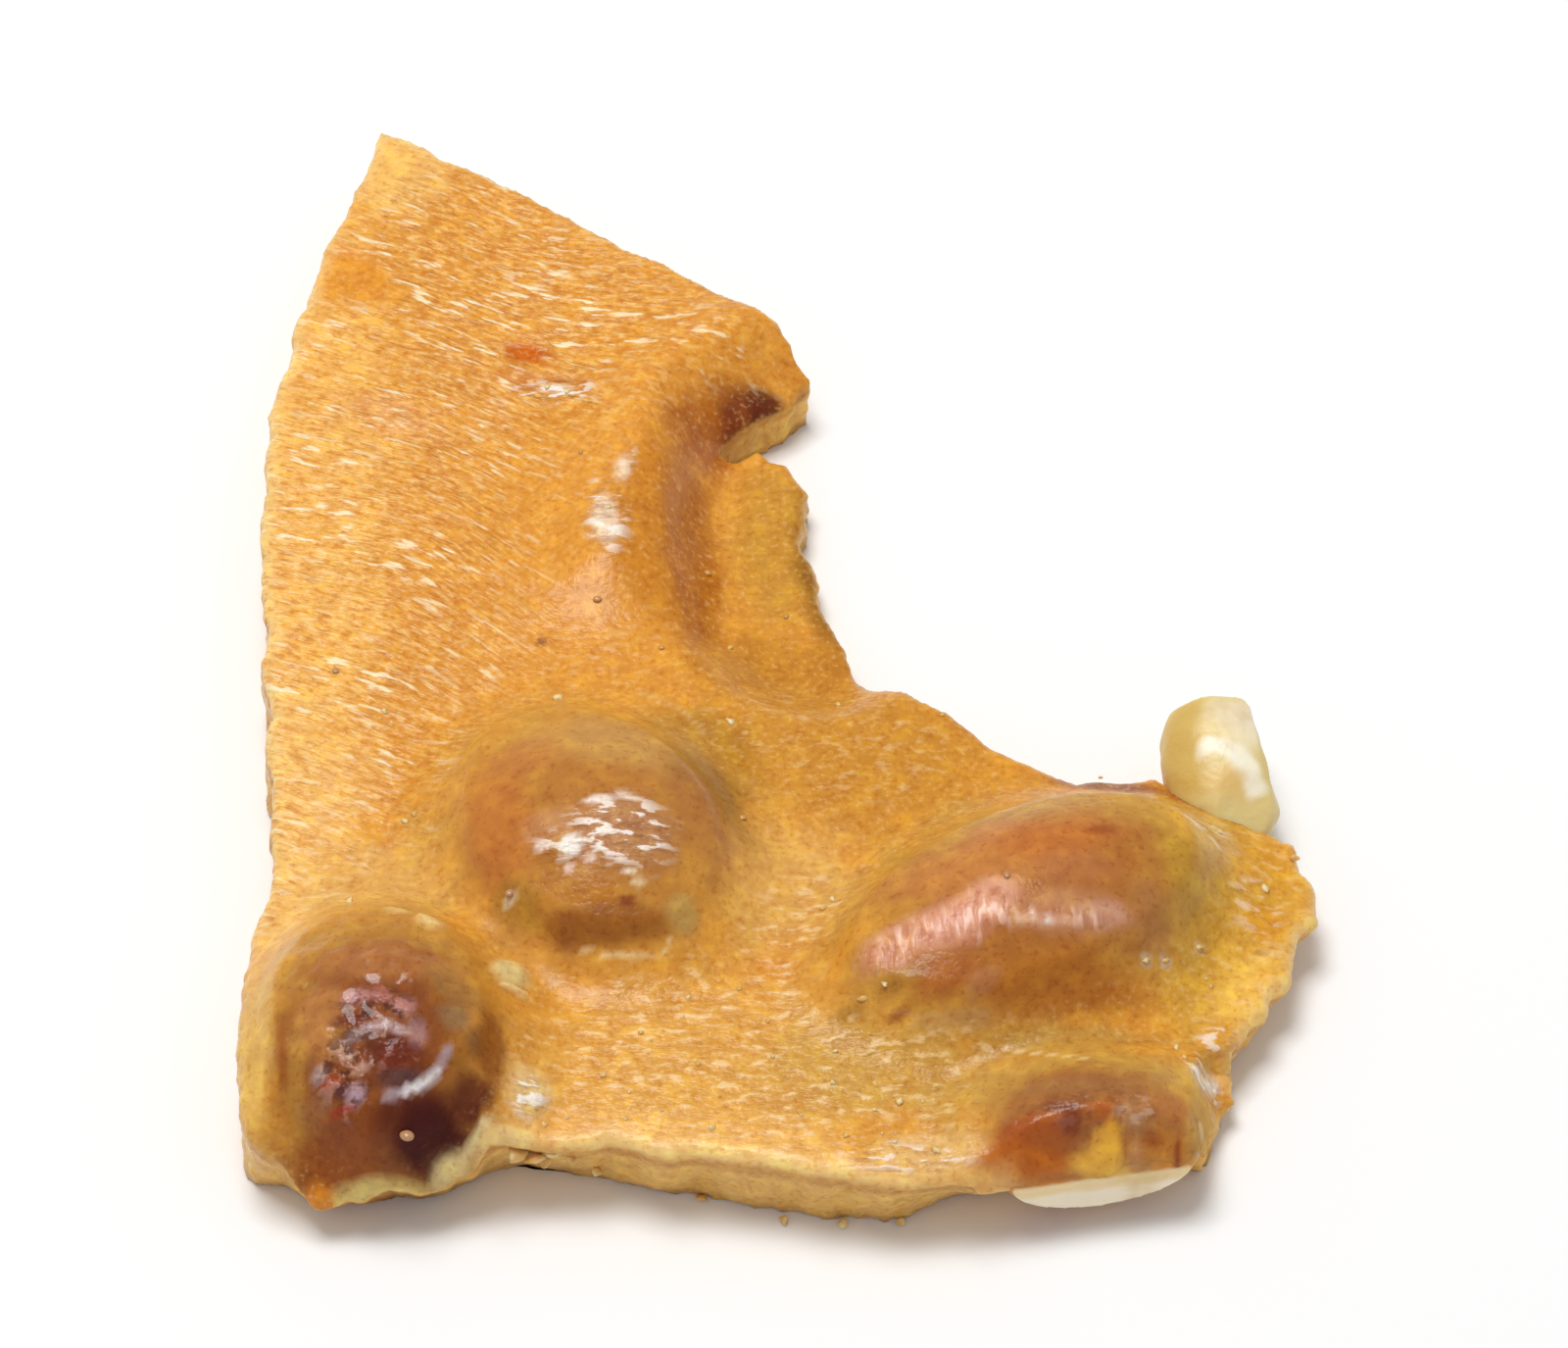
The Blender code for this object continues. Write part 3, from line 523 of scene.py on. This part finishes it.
def patched(x, y, wander, patches):
    """The strongest of these patches at each point."""
    best = np.zeros_like(x)
    for patch in patches:
        best = np.maximum(best, patch_weight(x, y, wander, *patch))
    return best


def mixed(colour, other, weight):
    """Colours of the points moved towards another colour by a weight each."""
    return colour + (np.array(linear(other)) - colour) * weight[:, None]


def candy_colours(x, y, wander, part, inset):
    """Colour of every point of the candy, from its place, its share of the height and how far in it lies."""
    colour = np.tile(np.array(linear(GOLD)), (len(x), 1))
    for place, size, turn, hue, strength in SLAB_PATCHES + KERNEL_PATCHES:
        colour = mixed(colour, hue, patch_weight(x, y, wander, place, size, turn, strength))
    for place, size, turn, strength, width in RIMMED:
        rim = patch_weight(x, y, wander, place, size, turn, strength) * (1.0 - ramp(0.1 * width, width, inset))
        colour = mixed(colour, RIM, rim)
    # painted highlight lines
    for run, width, hue, strength in HIGHLIGHT_LINES:
        colour = mixed(colour, hue, strength * (1.0 - ramp(0.3, 1.0, distance(x, y, run) / width)))
    bare = 1.0 - GLAZED * (1.0 - ramp(*GLAZED_TO, reach(x, y, KERNELS["peanut_1"])))
    colour = mixed(colour, WALL_TAN, bare * (1.0 - ramp(*TAN_TO, part)))
    # painted shadow under the walls' upper edge, then painted shade on their foot
    line = ramp(*LINE_FROM, part) * (1.0 - ramp(*LINE_TO, part))
    colour = mixed(colour, WALL_SHADOW_LINE, LINE_STRENGTH * bare * line)
    return mixed(colour, WALL_SHADED_FOOT, FOOT_STRENGTH * bare * (1.0 - ramp(*FOOT_TO, part)))


# The pull drew the streaks out aslant, less so by the tip and more on the crest
PULL_MIDDLE, PULL_SPREAD = (-12.0, 3.0), (60.0, 90.0)
SLANT, TIP_SLANT, CREST_SLANT = 0.42, 0.3, 0.45
TIP_ALONG, TIP_ACROSS = (8.0, 20.0), (-18.0, -8.0)
# Lengths over which the patches' edges wander, and the reaches in which a kernel's film ends
WANDER_LENGTH, FINE_WANDER_LENGTH, FILM_ENDS = 2.2, 0.8, (0.95, 1.3)


def flow_places(x, y, z):
    """Places that follow the pull, for the streaks to be drawn in."""
    across, along = x - PULL_MIDDLE[0], y - PULL_MIDDLE[1]
    slant = SLANT - TIP_SLANT * ramp(*TIP_ALONG, y) * ramp(*TIP_ACROSS, x)
    slant += CREST_SLANT * np.exp(-(across ** 2 / PULL_SPREAD[0] + along ** 2 / PULL_SPREAD[1]))
    return np.stack([x, y + slant * across, z], 1)


def candy_skin():
    """The candy's mesh, with its colours and the places of its textures kept in it."""
    mesh, part, inset = candy_mesh()
    x, y, z = points_of(mesh)
    wander = rough(x, y, 0.0 * x, WANDER_LENGTH) + 0.5 * rough(x, y, z, FINE_WANDER_LENGTH)
    keep_values(mesh, "tint", candy_colours(x, y, wander, part, inset), "FLOAT_COLOR")
    clear = np.ones_like(x)
    for name in FILMED:
        clear *= ramp(*FILM_ENDS, reach(x, y, KERNELS[name]))
    streaked = patched(x, y, wander, STREAKED) * (1.0 - patched(x, y, wander, UNSTREAKED))
    on_face = ramp(*ON_TOP, part)
    dull = patched(x, y, wander, DULL)
    looks = {"streaked": streaked * clear, "flecked": patched(x, y, wander, FLECKED) * clear * on_face,
             "clear": clear, "wrinkled": patched(x, y, wander, WRINKLED),
             "frost_and_glints": patched(x, y, wander, FROST_AND_GLINTS) * on_face, "pleated": patched(x, y, wander, PLEATED),
             "glassy": patched(x, y, wander, GLASSY) * (1.0 - dull), "dull": dull, "wall": 1.0 - on_face}
    for name, values in looks.items():
        keep_values(mesh, name, values)
    keep_values(mesh, "flow", flow_places(x, y, z), "FLOAT_VECTOR")
    mesh.shade_smooth()
    return mesh


def new_piece(name, mesh, material, slot, *nodes):
    """Shows a finished mesh as a piece on the part, in place of the CAD nodes named."""
    mesh.materials.clear()
    mesh.materials.append(material)
    piece = bpy.data.objects.new(name, mesh)
    bpy.context.scene.collection.objects.link(piece)
    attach(piece, "root")
    if nodes:
        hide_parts(*nodes)


def node(tree, kind, inputs=None, **settings):
    """Adds a shader node, with its settings, and its sockets filled with values or linked."""
    made = tree.nodes.new(kind)
    for key, value in settings.items():
        setattr(made, key, value)
    for key, value in (inputs or {}).items():
        if isinstance(value, bpy.types.NodeSocket):
            tree.links.new(value, made.inputs[key])
        else:
            made.inputs[key].default_value = value
    return made


def new_material(name):
    """A material with only a Principled shader, and its node tree and shader."""
    material = bpy.data.materials.new(name)
    material.use_nodes = True
    return material, material.node_tree, material.node_tree.nodes["Principled BSDF"]


def soaked(shader, weight, spread, depth):
    """Lets light soak in, red, green and blue by their shares of the depth in millimetres."""
    shader.inputs["Subsurface Weight"].default_value = weight
    shader.inputs["Subsurface Radius"].default_value = spread
    shader.inputs["Subsurface Scale"].default_value = depth * MM


def kept(tree, name, output="Fac"):
    """Reads a value kept in the mesh."""
    return node(tree, "ShaderNodeAttribute", attribute_name=name).outputs[output]


def grain(tree, vector, stretch, detail=2.0, **settings):
    """Noise at the vector, with as many grains along each axis as the stretch says: in a metre of
    the object's place, in a millimetre of the flow."""
    spread = node(tree, "ShaderNodeMapping", {"Vector": vector, "Scale": stretch})
    return node(tree, "ShaderNodeTexNoise", {"Vector": spread.outputs[0], "Scale": 1.0, "Detail": detail},
                **settings).outputs[0]


def above(tree, value, low, high, top=1.0):
    """0 where the value is under low, the top where it is over high."""
    return node(tree, "ShaderNodeMapRange", {"Value": value, "From Min": low, "From Max": high, "To Max": top},
                interpolation_type="SMOOTHSTEP").outputs[0]


def times(tree, a, b):
    """Product of two values."""
    return node(tree, "ShaderNodeMath", {0: a, 1: b}, operation="MULTIPLY").outputs[0]


def plus(tree, a, b):
    """Sum of two values."""
    return node(tree, "ShaderNodeMath", {0: a, 1: b}, operation="ADD").outputs[0]


def tinted(tree, colour, other, weight, blend="MIX"):
    """A colour mixed with another by a weight."""
    mix = node(tree, "ShaderNodeMix", {0: weight, 6: colour, 7: other}, data_type="RGBA", blend_type=blend)
    return mix.outputs[2]


def raised(tree, height, depth, normal=None):
    """Bumps as high as the depth in millimetres where the height is 1."""
    bump = node(tree, "ShaderNodeBump", {"Height": height, "Distance": depth * MM})
    if normal:
        tree.links.new(normal, bump.inputs["Normal"])
    return bump.outputs[0]


# The pale mottles are brighter than the candy round them by these shares
PALER = (1.12, 1.2, 1.05, 1.0)


def brittle():
    """Set candy: opaque gold with light soaking in, drawn out in pale streaks, glossy all over."""
    material, tree, shader = new_material("brittle")
    place = node(tree, "ShaderNodeTexCoord").outputs["Object"]
    flow = kept(tree, "flow", "Vector")
    clear, wrinkled, streaked, flecked, frost_and_glints, pleated, glassy, wall, dull = (kept(tree, name) for name in (
        "clear", "wrinkled", "streaked", "flecked", "frost_and_glints", "pleated", "glassy", "wall", "dull"))
    streaks = grain(tree, flow, (0.7, 2.6, 0.7), 2.0)
    threads = grain(tree, flow, (1.5, 3.6, 1.5), 2.0)
    crowds = above(tree, grain(tree, flow, (0.12, 0.35, 0.12), 1.0), 0.4, 0.6)
    folds = grain(tree, place, (900.0, 2300.0, 900.0), 3.0)
    pleats = grain(tree, flow, (2.2, 0.6, 0.8), 1.5)
    short = grain(tree, place, (1100.0, 2400.0, 1100.0), 3.0)
    mottle = grain(tree, place, (1200.0,) * 3, 3.0)
    sand = grain(tree, place, (3500.0,) * 3, 2.0)
    wrinkles = grain(tree, place, (1300.0, 1500.0, 1000.0), 2.5)
    dashes = times(tree, above(tree, streaks, 0.57, 0.68), plus(tree, times(tree, crowds, 0.75), 0.25))
    colour = kept(tree, "tint", "Color")
    colour = tinted(tree, colour, linear("#BC7E34"), above(tree, mottle, 0.45, 0.75, 0.22), "MULTIPLY")
    colour = tinted(tree, colour, PALER, above(tree, mottle, 0.5, 0.3), "MULTIPLY")
    colour = tinted(tree, colour, linear("#D8A05C"), above(tree, sand, 0.48, 0.25, 0.45), "MULTIPLY")
    layers = [
        ("#FBD492", clear, above(tree, sand, 0.52, 0.78, 0.3)),           # pale sugar grains
        ("#4E1A0C", wrinkled, above(tree, wrinkles, 0.47, 0.38, 0.8)),    # painted shade in the clefts of the shrunken skin
        ("#C48E80", wrinkled, above(tree, wrinkles, 0.58, 0.66, 0.55)),   # painted mauve highlights on its ridges
        ("#CE7A1E", streaked, above(tree, threads, 0.48, 0.34, 0.55)),    # deep and pale pulled threads
        ("#F8C97A", streaked, above(tree, threads, 0.52, 0.66, 0.6)),
        ("#FFEEC4", streaked, times(tree, dashes, 0.85)),                 # pale dashes of air drawn out by the pull, lit up as painted glints
        ("#C88838", flecked, above(tree, short, 0.48, 0.34, 0.4)),        # short flecks of the poured part
        ("#F6D49C", flecked, above(tree, short, 0.54, 0.68, 0.7)),
        ("#FFF2E6", frost_and_glints, above(tree, folds, 0.52, 0.6, 0.9)),         # painted glints on the crests of fine folds
        # painted shade between the folds
        ("#9A6240", frost_and_glints, above(tree, folds, 0.46, 0.36, 0.4)),
        ("#F8CDB8", pleated, above(tree, pleats, 0.52, 0.62, 0.8)),       # painted highlight on the pleats of the third kernel's skin
        # painted shade between the pleats
        ("#B86A48", pleated, above(tree, pleats, 0.46, 0.38, 0.6)),
    ]
    for hue, where, weight in layers:
        colour = tinted(tree, colour, linear(hue), times(tree, where, weight))
    tree.links.new(colour, shader.inputs["Base Color"])
    ridges = None
    for height, where, depth in ((streaks, streaked, 0.35), (folds, frost_and_glints, 0.45), (pleats, pleated, 0.3),
                                 (short, flecked, 0.15), (wrinkles, wrinkled, 0.5), (mottle, wall, 0.2)):
        ridges = raised(tree, times(tree, height, where), depth, ridges)
    ridges = raised(tree, sand, 0.035, ridges)
    tree.links.new(ridges, shader.inputs["Normal"])
    tree.links.new(plus(tree, times(tree, dull, 0.5), 0.25), shader.inputs["Roughness"])
    shader.inputs["Specular IOR Level"].default_value = 0.22
    soaked(shader, 0.3, (1.0, 0.6, 0.2), 1.5)
    shader.inputs["Coat Roughness"].default_value = 0.08
    tree.links.new(glassy, shader.inputs["Coat Weight"])
    return material


new_piece("candy", candy_skin(), brittle(), "candy", "candy_slab")

# Kernels: blanched by the boil and still in their red skins where whole. The fourth snapped with
# the front edge and the fifth across its length, and both show cream flesh.

FLESH, SKIN, CRACK_RIM = "#FBEACE", "#8E4526", "#F2D298"
# Fifth kernel: yellow where the sheet holds it, cream on its broken face, pale chipped ridge with painted highlight
BROKEN_CREAM, RIDGE_CREAM_GLINT = "#E0CA88", "#FCF6E2"
BROKEN_PATCHES = [((19.2, -8.8), (1.3, 3.6), 0, "#D4B058", 0.9), ((21.9, -8.2), (1.6, 1.7), 0, "#F2E4C0", 0.9),
                  ((21.3, -10.9), (1.6, 0.9), 0, "#E6C47A", 0.85), ((20.6, -8.0), (1.0, 1.4), 0, "#EBD49A", 0.8),
                  ((22.8, -8.8), (0.4, 2.0), 0, "#D8C084", 0.8), ((21.5, -7.4), (1.5, 1.2), 0, "#F0E0C6", 0.7)]
CHIP_RIDGE = [(20.2, -9.2), (20.9, -9.5), (21.6, -9.8), (22.1, -10.4), (22.3, -10.9)]
KERNEL_VOXEL, KERNEL_SEGMENTS, KERNEL_RINGS = 0.14, 64, 40
FIT_GAP = 0.3
UPPER_CRACK = (CRACK_X, CRACK_Y, CRACK_EDGE - FIT_GAP), (CRACK_RISE * OUT_X, CRACK_RISE * OUT_Y, 1.0)
CHIP = ((22.3, -9.9, 5.0), (0.25, -0.55, 0.8))
SIDE_CRACK, END_CRACK = ((22.9, -8.0, 3.0), (0.96, 0.16, 0.2)), ((20.9, -5.6, 3.0), (-0.2, 0.95, 0.24))


def kernel_shape(kernel, cracks):
    """A kernel with one pointed end, cut off flat past each crack."""
    place, (length, width, height), turn, tilt = kernel
    bm = bmesh.new()
    bmesh.ops.create_uvsphere(bm, u_segments=KERNEL_SEGMENTS, v_segments=KERNEL_RINGS, radius=0.5,
                              matrix=Matrix.Rotation(math.radians(90.0), 4, "Y"))
    for v in bm.verts:
        girth = 1.0 - KERNEL_TAPER * v.co.x - POINT_TAPER * max(v.co.x - POINT_FROM, 0.0)
        v.co = Vector((v.co.x * length, v.co.y * width * girth, v.co.z * height * girth)) * MM
    stand = Matrix.Translation(Vector(place) * MM)
    stand = stand @ Matrix.Rotation(math.radians(turn), 4, "Z")
    stand = stand @ Matrix.Rotation(math.radians(-tilt), 4, "Y")
    bmesh.ops.transform(bm, matrix=stand, verts=bm.verts[:])
    for at, out in cracks:
        everything = bm.verts[:] + bm.edges[:] + bm.faces[:]
        cut = bmesh.ops.bisect_plane(bm, geom=everything, dist=0.00001 * MM, plane_co=Vector(at) * MM,
                                     plane_no=Vector(out), clear_outer=True)["geom_cut"]
        bmesh.ops.edgeloop_fill(bm, edges=[g for g in cut if isinstance(g, bmesh.types.BMEdge)])
    bmesh.ops.recalc_face_normals(bm, faces=bm.faces[:])
    return bm


def broken_kernel(kernel, cracks, lumps):
    """A cracked kernel, remeshed fine, with uneven faces, and how far each point lies behind its cracks."""
    mesh = even_mesh(kernel_shape(kernel, cracks), KERNEL_VOXEL)
    x, y, z = points_of(mesh)
    behind = [((at[0] - x) * out[0] + (at[1] - y) * out[1] + (at[2] - z) * out[2]) / math.hypot(*out)
              for at, out in cracks]
    dz = lumps * rough(x, y, z, 1.6)
    dx = lumps * rough(x, y, z, 1.2, ELSEWHERE)
    move_points(mesh, x + dx, y + dz, np.maximum(z + 0.5 * dz, 0.0))
    mesh.shade_smooth()
    return mesh, behind


def cracked_mesh():
    """The fourth kernel: skin under glaze outside, cream where the front edge cracked it."""
    mesh, (behind_front, behind_top) = broken_kernel(KERNELS["peanut_4"], [FRONT_CRACK, UPPER_CRACK], 0.03)
    x, y, z = points_of(mesh)
    wander = rough(x, y, z, 1.2)
    colour = candy_colours(x, y, wander, np.ones_like(x), np.full_like(x, DEEP_INSIDE))
    colour = mixed(colour, FLESH, 1.0 - ramp(0.08, 0.2, behind_front))
    rim = (1.0 - ramp(0.08, 0.2, behind_front)) * (1.0 - ramp(0.12, 0.3, behind_top + 0.1 * wander))
    keep_values(mesh, "tint", mixed(colour, CRACK_RIM, 0.8 * rim), "FLOAT_COLOR")
    return mesh


def broken_mesh():
    """The fifth kernel: bare flesh, yellowed by candy on the side that the sheet holds."""
    mesh, _ = broken_kernel(KERNELS["peanut_5"], [SIDE_CRACK, END_CRACK, CHIP], 0.16)
    x, y, z = points_of(mesh)
    colour = np.tile(np.array(linear(BROKEN_CREAM)), (len(x), 1))
    for place, size, turn, hue, strength in BROKEN_PATCHES:
        colour = mixed(colour, hue, patch_weight(x, y, rough(x, y, z, 1.4), place, size, turn, strength))
    # pale chipped ridge, whitened by a painted highlight
    ridge = 1.0 - ramp(0.1, 0.75, distance(x, y, CHIP_RIDGE) + 0.4 * rough(x, y, z, 0.8))
    colour = mixed(colour, RIDGE_CREAM_GLINT, 0.85 * ridge)
    keep_values(mesh, "tint", colour, "FLOAT_COLOR")
    return mesh


def flesh():
    """Raw-looking nut flesh: cream, waxy, finely grained where it broke."""
    material, tree, shader = new_material("nut flesh")
    place = node(tree, "ShaderNodeTexCoord").outputs["Object"]
    mottle = grain(tree, place, (450.0,) * 3, 3.0)
    colour = tinted(tree, kept(tree, "tint", "Color"), linear("#CDAE66"), above(tree, mottle, 0.48, 0.68, 0.45))
    tree.links.new(colour, shader.inputs["Base Color"])
    tree.links.new(raised(tree, grain(tree, place, (2200.0,) * 3, 3.0), 0.06), shader.inputs["Normal"])
    shader.inputs["Roughness"].default_value = 0.4
    soaked(shader, 0.4, (1.0, 0.75, 0.4), 1.2)
    return material


def skin():
    """Red-brown papery skin of a whole kernel, waxy and finely wrinkled."""
    material, tree, shader = new_material("peanut skin")
    place = node(tree, "ShaderNodeTexCoord").outputs["Object"]
    veins = grain(tree, place, (300.0, 300.0, 900.0), 3.0)
    colour = tinted(tree, linear(SKIN), linear("#B87246"), above(tree, veins, 0.45, 0.65, 0.8))
    tree.links.new(colour, shader.inputs["Base Color"])
    tree.links.new(raised(tree, veins, 0.15), shader.inputs["Normal"])
    shader.inputs["Roughness"].default_value = 0.45
    return material


nut_flesh = flesh()
new_piece("cracked_peanut", cracked_mesh(), nut_flesh, "peanut_flesh", "peanut_4")
new_piece("broken_peanut", broken_mesh(), nut_flesh, "peanut_flesh", "peanut_5")
nut_skin = skin()
for name in ("peanut_1", "peanut_2", "peanut_3"):
    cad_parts[name].material_slots[0].material = nut_skin

# Crumbs: sugar grains and splinters of candy that the breaks left stuck to the top and along the
# foot, some pale and dull, with the glassy skins of small bubbles among them and one droplet.

CRUMBS = [(-10.2, -6.2, 0.5), (-2.1, -7.2, 0.45), (-2.2, -1.0, 0.35), (16.7, -21.8, 0.35), (17.6, -21.5, 0.35),
          (19.2, -20.4, 0.4), (5.5, -28.8, 0.45), (-2.8, -30.4, 0.4), (3.9, -24.2, 0.4), (4.9, -24.0, 0.35),
          (7.1, -31.4, 0.45), (-19.3, -18.6, 0.4), (20.4, -13.9, 0.35), (24.0, -14.3, 0.4), (22.5, -16.3, 0.45),
          (-11.3, 14.2, 0.35), (-10.3, 13.8, 0.3), (-8.1, 5.0, 0.3)]
FOOT_CRUMBS = [(-11.4, -31.1, 3.6, 1.0), (-10.6, -31.1, 3.3, 0.9), (-9.8, -30.9, 3.5, 0.8), (-9.0, -30.9, 3.1, 0.6),
               (-10.2, -30.7, 2.4, 0.6), (-7.9, -30.7, 1.6, 0.5), (-3.3, -31.1, 0.2, 0.5), (0.4, -32.3, 0.2, 0.45),
               (3.0, -32.5, 0.2, 0.5), (5.6, -32.4, 0.2, 0.45)]
DROPLET = (-16.1, -31.75, 5.9, 0.7)
BLISTERS = [(-8.5, -0.1, 0.45), (-3.3, 3.4, 0.4), (10.4, -19.4, 0.4), (-12.0, -18.8, 0.5), (-1.5, -13.5, 0.4),
            (-20.8, -4.1, 0.35), (-9.5, 9.0, 0.3), (0.5, 1.2, 0.3), (-5.4, -2.6, 0.3)]
# Scattered ones: how many, their sizes, the field they fall in, most of them near its front, and
# how far they keep from the edge in millimetres and from the kernels in reaches
SCATTERED, SCATTERED_SIZE, SEED = 40, (0.16, 0.36), 11
FIELD_SIDE, FIELD_FRONT, FIELD_DEPTH, FIELD_CROWD = 24.0, -31.0, 30.0, 0.6
LOBE_SIDE, LOBE_FALL, LOBE_MIDDLE = 22.0, 0.2, 18.0
OFF_EDGE, OFF_KERNEL = 1.2, 1.3
# How grains are thrown out of round, turned and pressed flat, and how high they lie
THROW, THROW_PITCH, SPIN = 0.9, 2.1, 2.4
CRUMB_SHAPE, BLISTER_SHAPE, SEAT = Vector((1.0, 0.75, 0.55)), Vector((1.0, 0.8, 0.5)), 0.35


def add_grain(bm, place, size, seed, smooth):
    """Adds a grain of that size at a place: a ball that noise has made angular, or a smooth dome."""
    made = bmesh.ops.create_icosphere(bm, subdivisions=2, radius=size / 2.0)["verts"]
    squash = BLISTER_SHAPE if smooth else CRUMB_SHAPE
    spin = Matrix.Rotation(seed * SPIN, 3, "Z")
    for v in made:
        throw = 1.0 if smooth else 1.0 + THROW * noise.noise(v.co / size * THROW_PITCH + Vector((seed, 0.0, 0.0)))
        v.co = (spin @ (v.co * squash * throw) + Vector(place)) * MM


def grain_mesh(name, places, smooth):
    """All the grains of one kind, joined."""
    bm = bmesh.new()
    for seed, (x, y, z, size) in enumerate(places):
        add_grain(bm, (x, y, z), size, seed, smooth)
    mesh = bpy.data.meshes.new(name)
    bm.to_mesh(mesh)
    bm.free()
    mesh.shade_smooth()
    return mesh


def on_top(places, sunk):
    """Adds to each place and size the height at which the grain lies on the candy."""
    x, y, size = (np.array(values) for values in zip(*places))
    return list(zip(x, y, top_height(x, y) + size * (SEAT - sunk), size))


def scattered():
    """Places and sizes of the small crumbs, most of them near the front."""
    draw = np.random.default_rng(SEED)
    found = []
    while len(found) < SCATTERED:
        x = draw.uniform(-FIELD_SIDE, FIELD_SIDE)
        y = FIELD_FRONT + FIELD_DEPTH * draw.power(FIELD_CROWD) * draw.uniform()
        by_edge = min(math.dist((x, y), p) for p in OUTLINE) < OFF_EDGE
        on_kernel = min(reach(x, y, kernel) for kernel in KERNELS.values()) < OFF_KERNEL
        if not by_edge and not on_kernel and x < LOBE_SIDE - LOBE_FALL * abs(y + LOBE_MIDDLE):
            found.append((x, y, draw.uniform(*SCATTERED_SIZE)))
    return found


def crumb():
    """Crushed sugar: pale, matt and a little translucent."""
    material, tree, shader = new_material("candy crumbs")
    place = node(tree, "ShaderNodeTexCoord").outputs["Object"]
    patches = grain(tree, place, (900.0,) * 3, 1.0)
    colour = tinted(tree, linear("#F2D49A"), linear("#DEAE62"), above(tree, patches, 0.45, 0.6))
    tree.links.new(colour, shader.inputs["Base Color"])
    shader.inputs["Roughness"].default_value = 0.4
    soaked(shader, 0.4, (1.0, 0.7, 0.3), 0.5)
    return material


def blister():
    """The skin of a bubble: thin clear candy, glassy and darker than what is round it."""
    material, tree, shader = new_material("candy blisters")
    place = node(tree, "ShaderNodeTexCoord").outputs["Object"]
    depth = grain(tree, place, (600.0,) * 3, 1.0)
    colour = tinted(tree, linear("#C8924A"), linear("#B98A62"), above(tree, depth, 0.4, 0.6))
    tree.links.new(colour, shader.inputs["Base Color"])
    shader.inputs["Roughness"].default_value = 0.12
    return material


new_piece("crumbs", grain_mesh("crumbs", on_top(CRUMBS + scattered(), 0.3) + FOOT_CRUMBS, False), crumb(), "candy")
new_piece("blisters", grain_mesh("blisters", on_top(BLISTERS, 0.25) + [DROPLET], True), blister(), "candy")

# Table: the white surface on which the shard lies

TABLE_SIZE, TABLE_WHITE = 1.5, (0.93, 0.93, 0.93, 1.0)

floor_mesh = bpy.data.meshes.new("table")
bm = bmesh.new()
bmesh.ops.create_grid(bm, x_segments=1, y_segments=1, size=TABLE_SIZE)
bm.to_mesh(floor_mesh)
bm.free()
floor = bpy.data.objects.new("table", floor_mesh)
bpy.context.scene.collection.objects.link(floor)
white, tree, shader = new_material("white table")
shader.inputs["Base Color"].default_value = TABLE_WHITE
shader.inputs["Roughness"].default_value = 0.9
shader.inputs["Specular IOR Level"].default_value = 0.0
floor_mesh.materials.append(white)

# Light: a bright sky all round, and one big soft window almost overhead

SKY = 0.46

world = bpy.data.worlds.new("room")
bpy.context.scene.world = world
world.use_nodes = True
world.node_tree.nodes["Background"].inputs["Color"].default_value = (1.0, 1.0, 1.0, 1.0)
world.node_tree.nodes["Background"].inputs["Strength"].default_value = SKY


def soft_light(name, direction, distance_away, size, radiance):
    """A square soft light in that direction from the shard, facing it, as bright as asked."""
    lamp = bpy.data.lights.new(name, "AREA")
    lamp.shape = "SQUARE"
    lamp.size = size
    lamp.energy = radiance * math.pi * size * size
    thing = bpy.data.objects.new(name, lamp)
    thing.location = Vector(direction).normalized() * distance_away
    thing.rotation_euler = Vector(direction).to_track_quat("Z", "Y").to_euler()
    bpy.context.scene.collection.objects.link(thing)


soft_light("window", direction=(-0.16, 0.15, 0.97), distance_away=0.6, size=0.26, radiance=11.7)

# Camera: looks down at the shard from its front, as the photograph does

eye, aim = Vector((0.40, -166.87, 198.34)) * MM, Vector((0.40, -2.96, 3.0)) * MM
camera = bpy.data.objects.new("camera", bpy.data.cameras.new("camera"))
camera.data.lens = 122.93
camera.data.sensor_width = 36.0
camera.data.clip_start = 0.01
camera.location = eye
camera.rotation_euler = (aim - eye).to_track_quat("-Z", "Y").to_euler()
bpy.context.scene.collection.objects.link(camera)
bpy.context.scene.camera = camera
bpy.context.scene.view_settings.view_transform = "Standard"
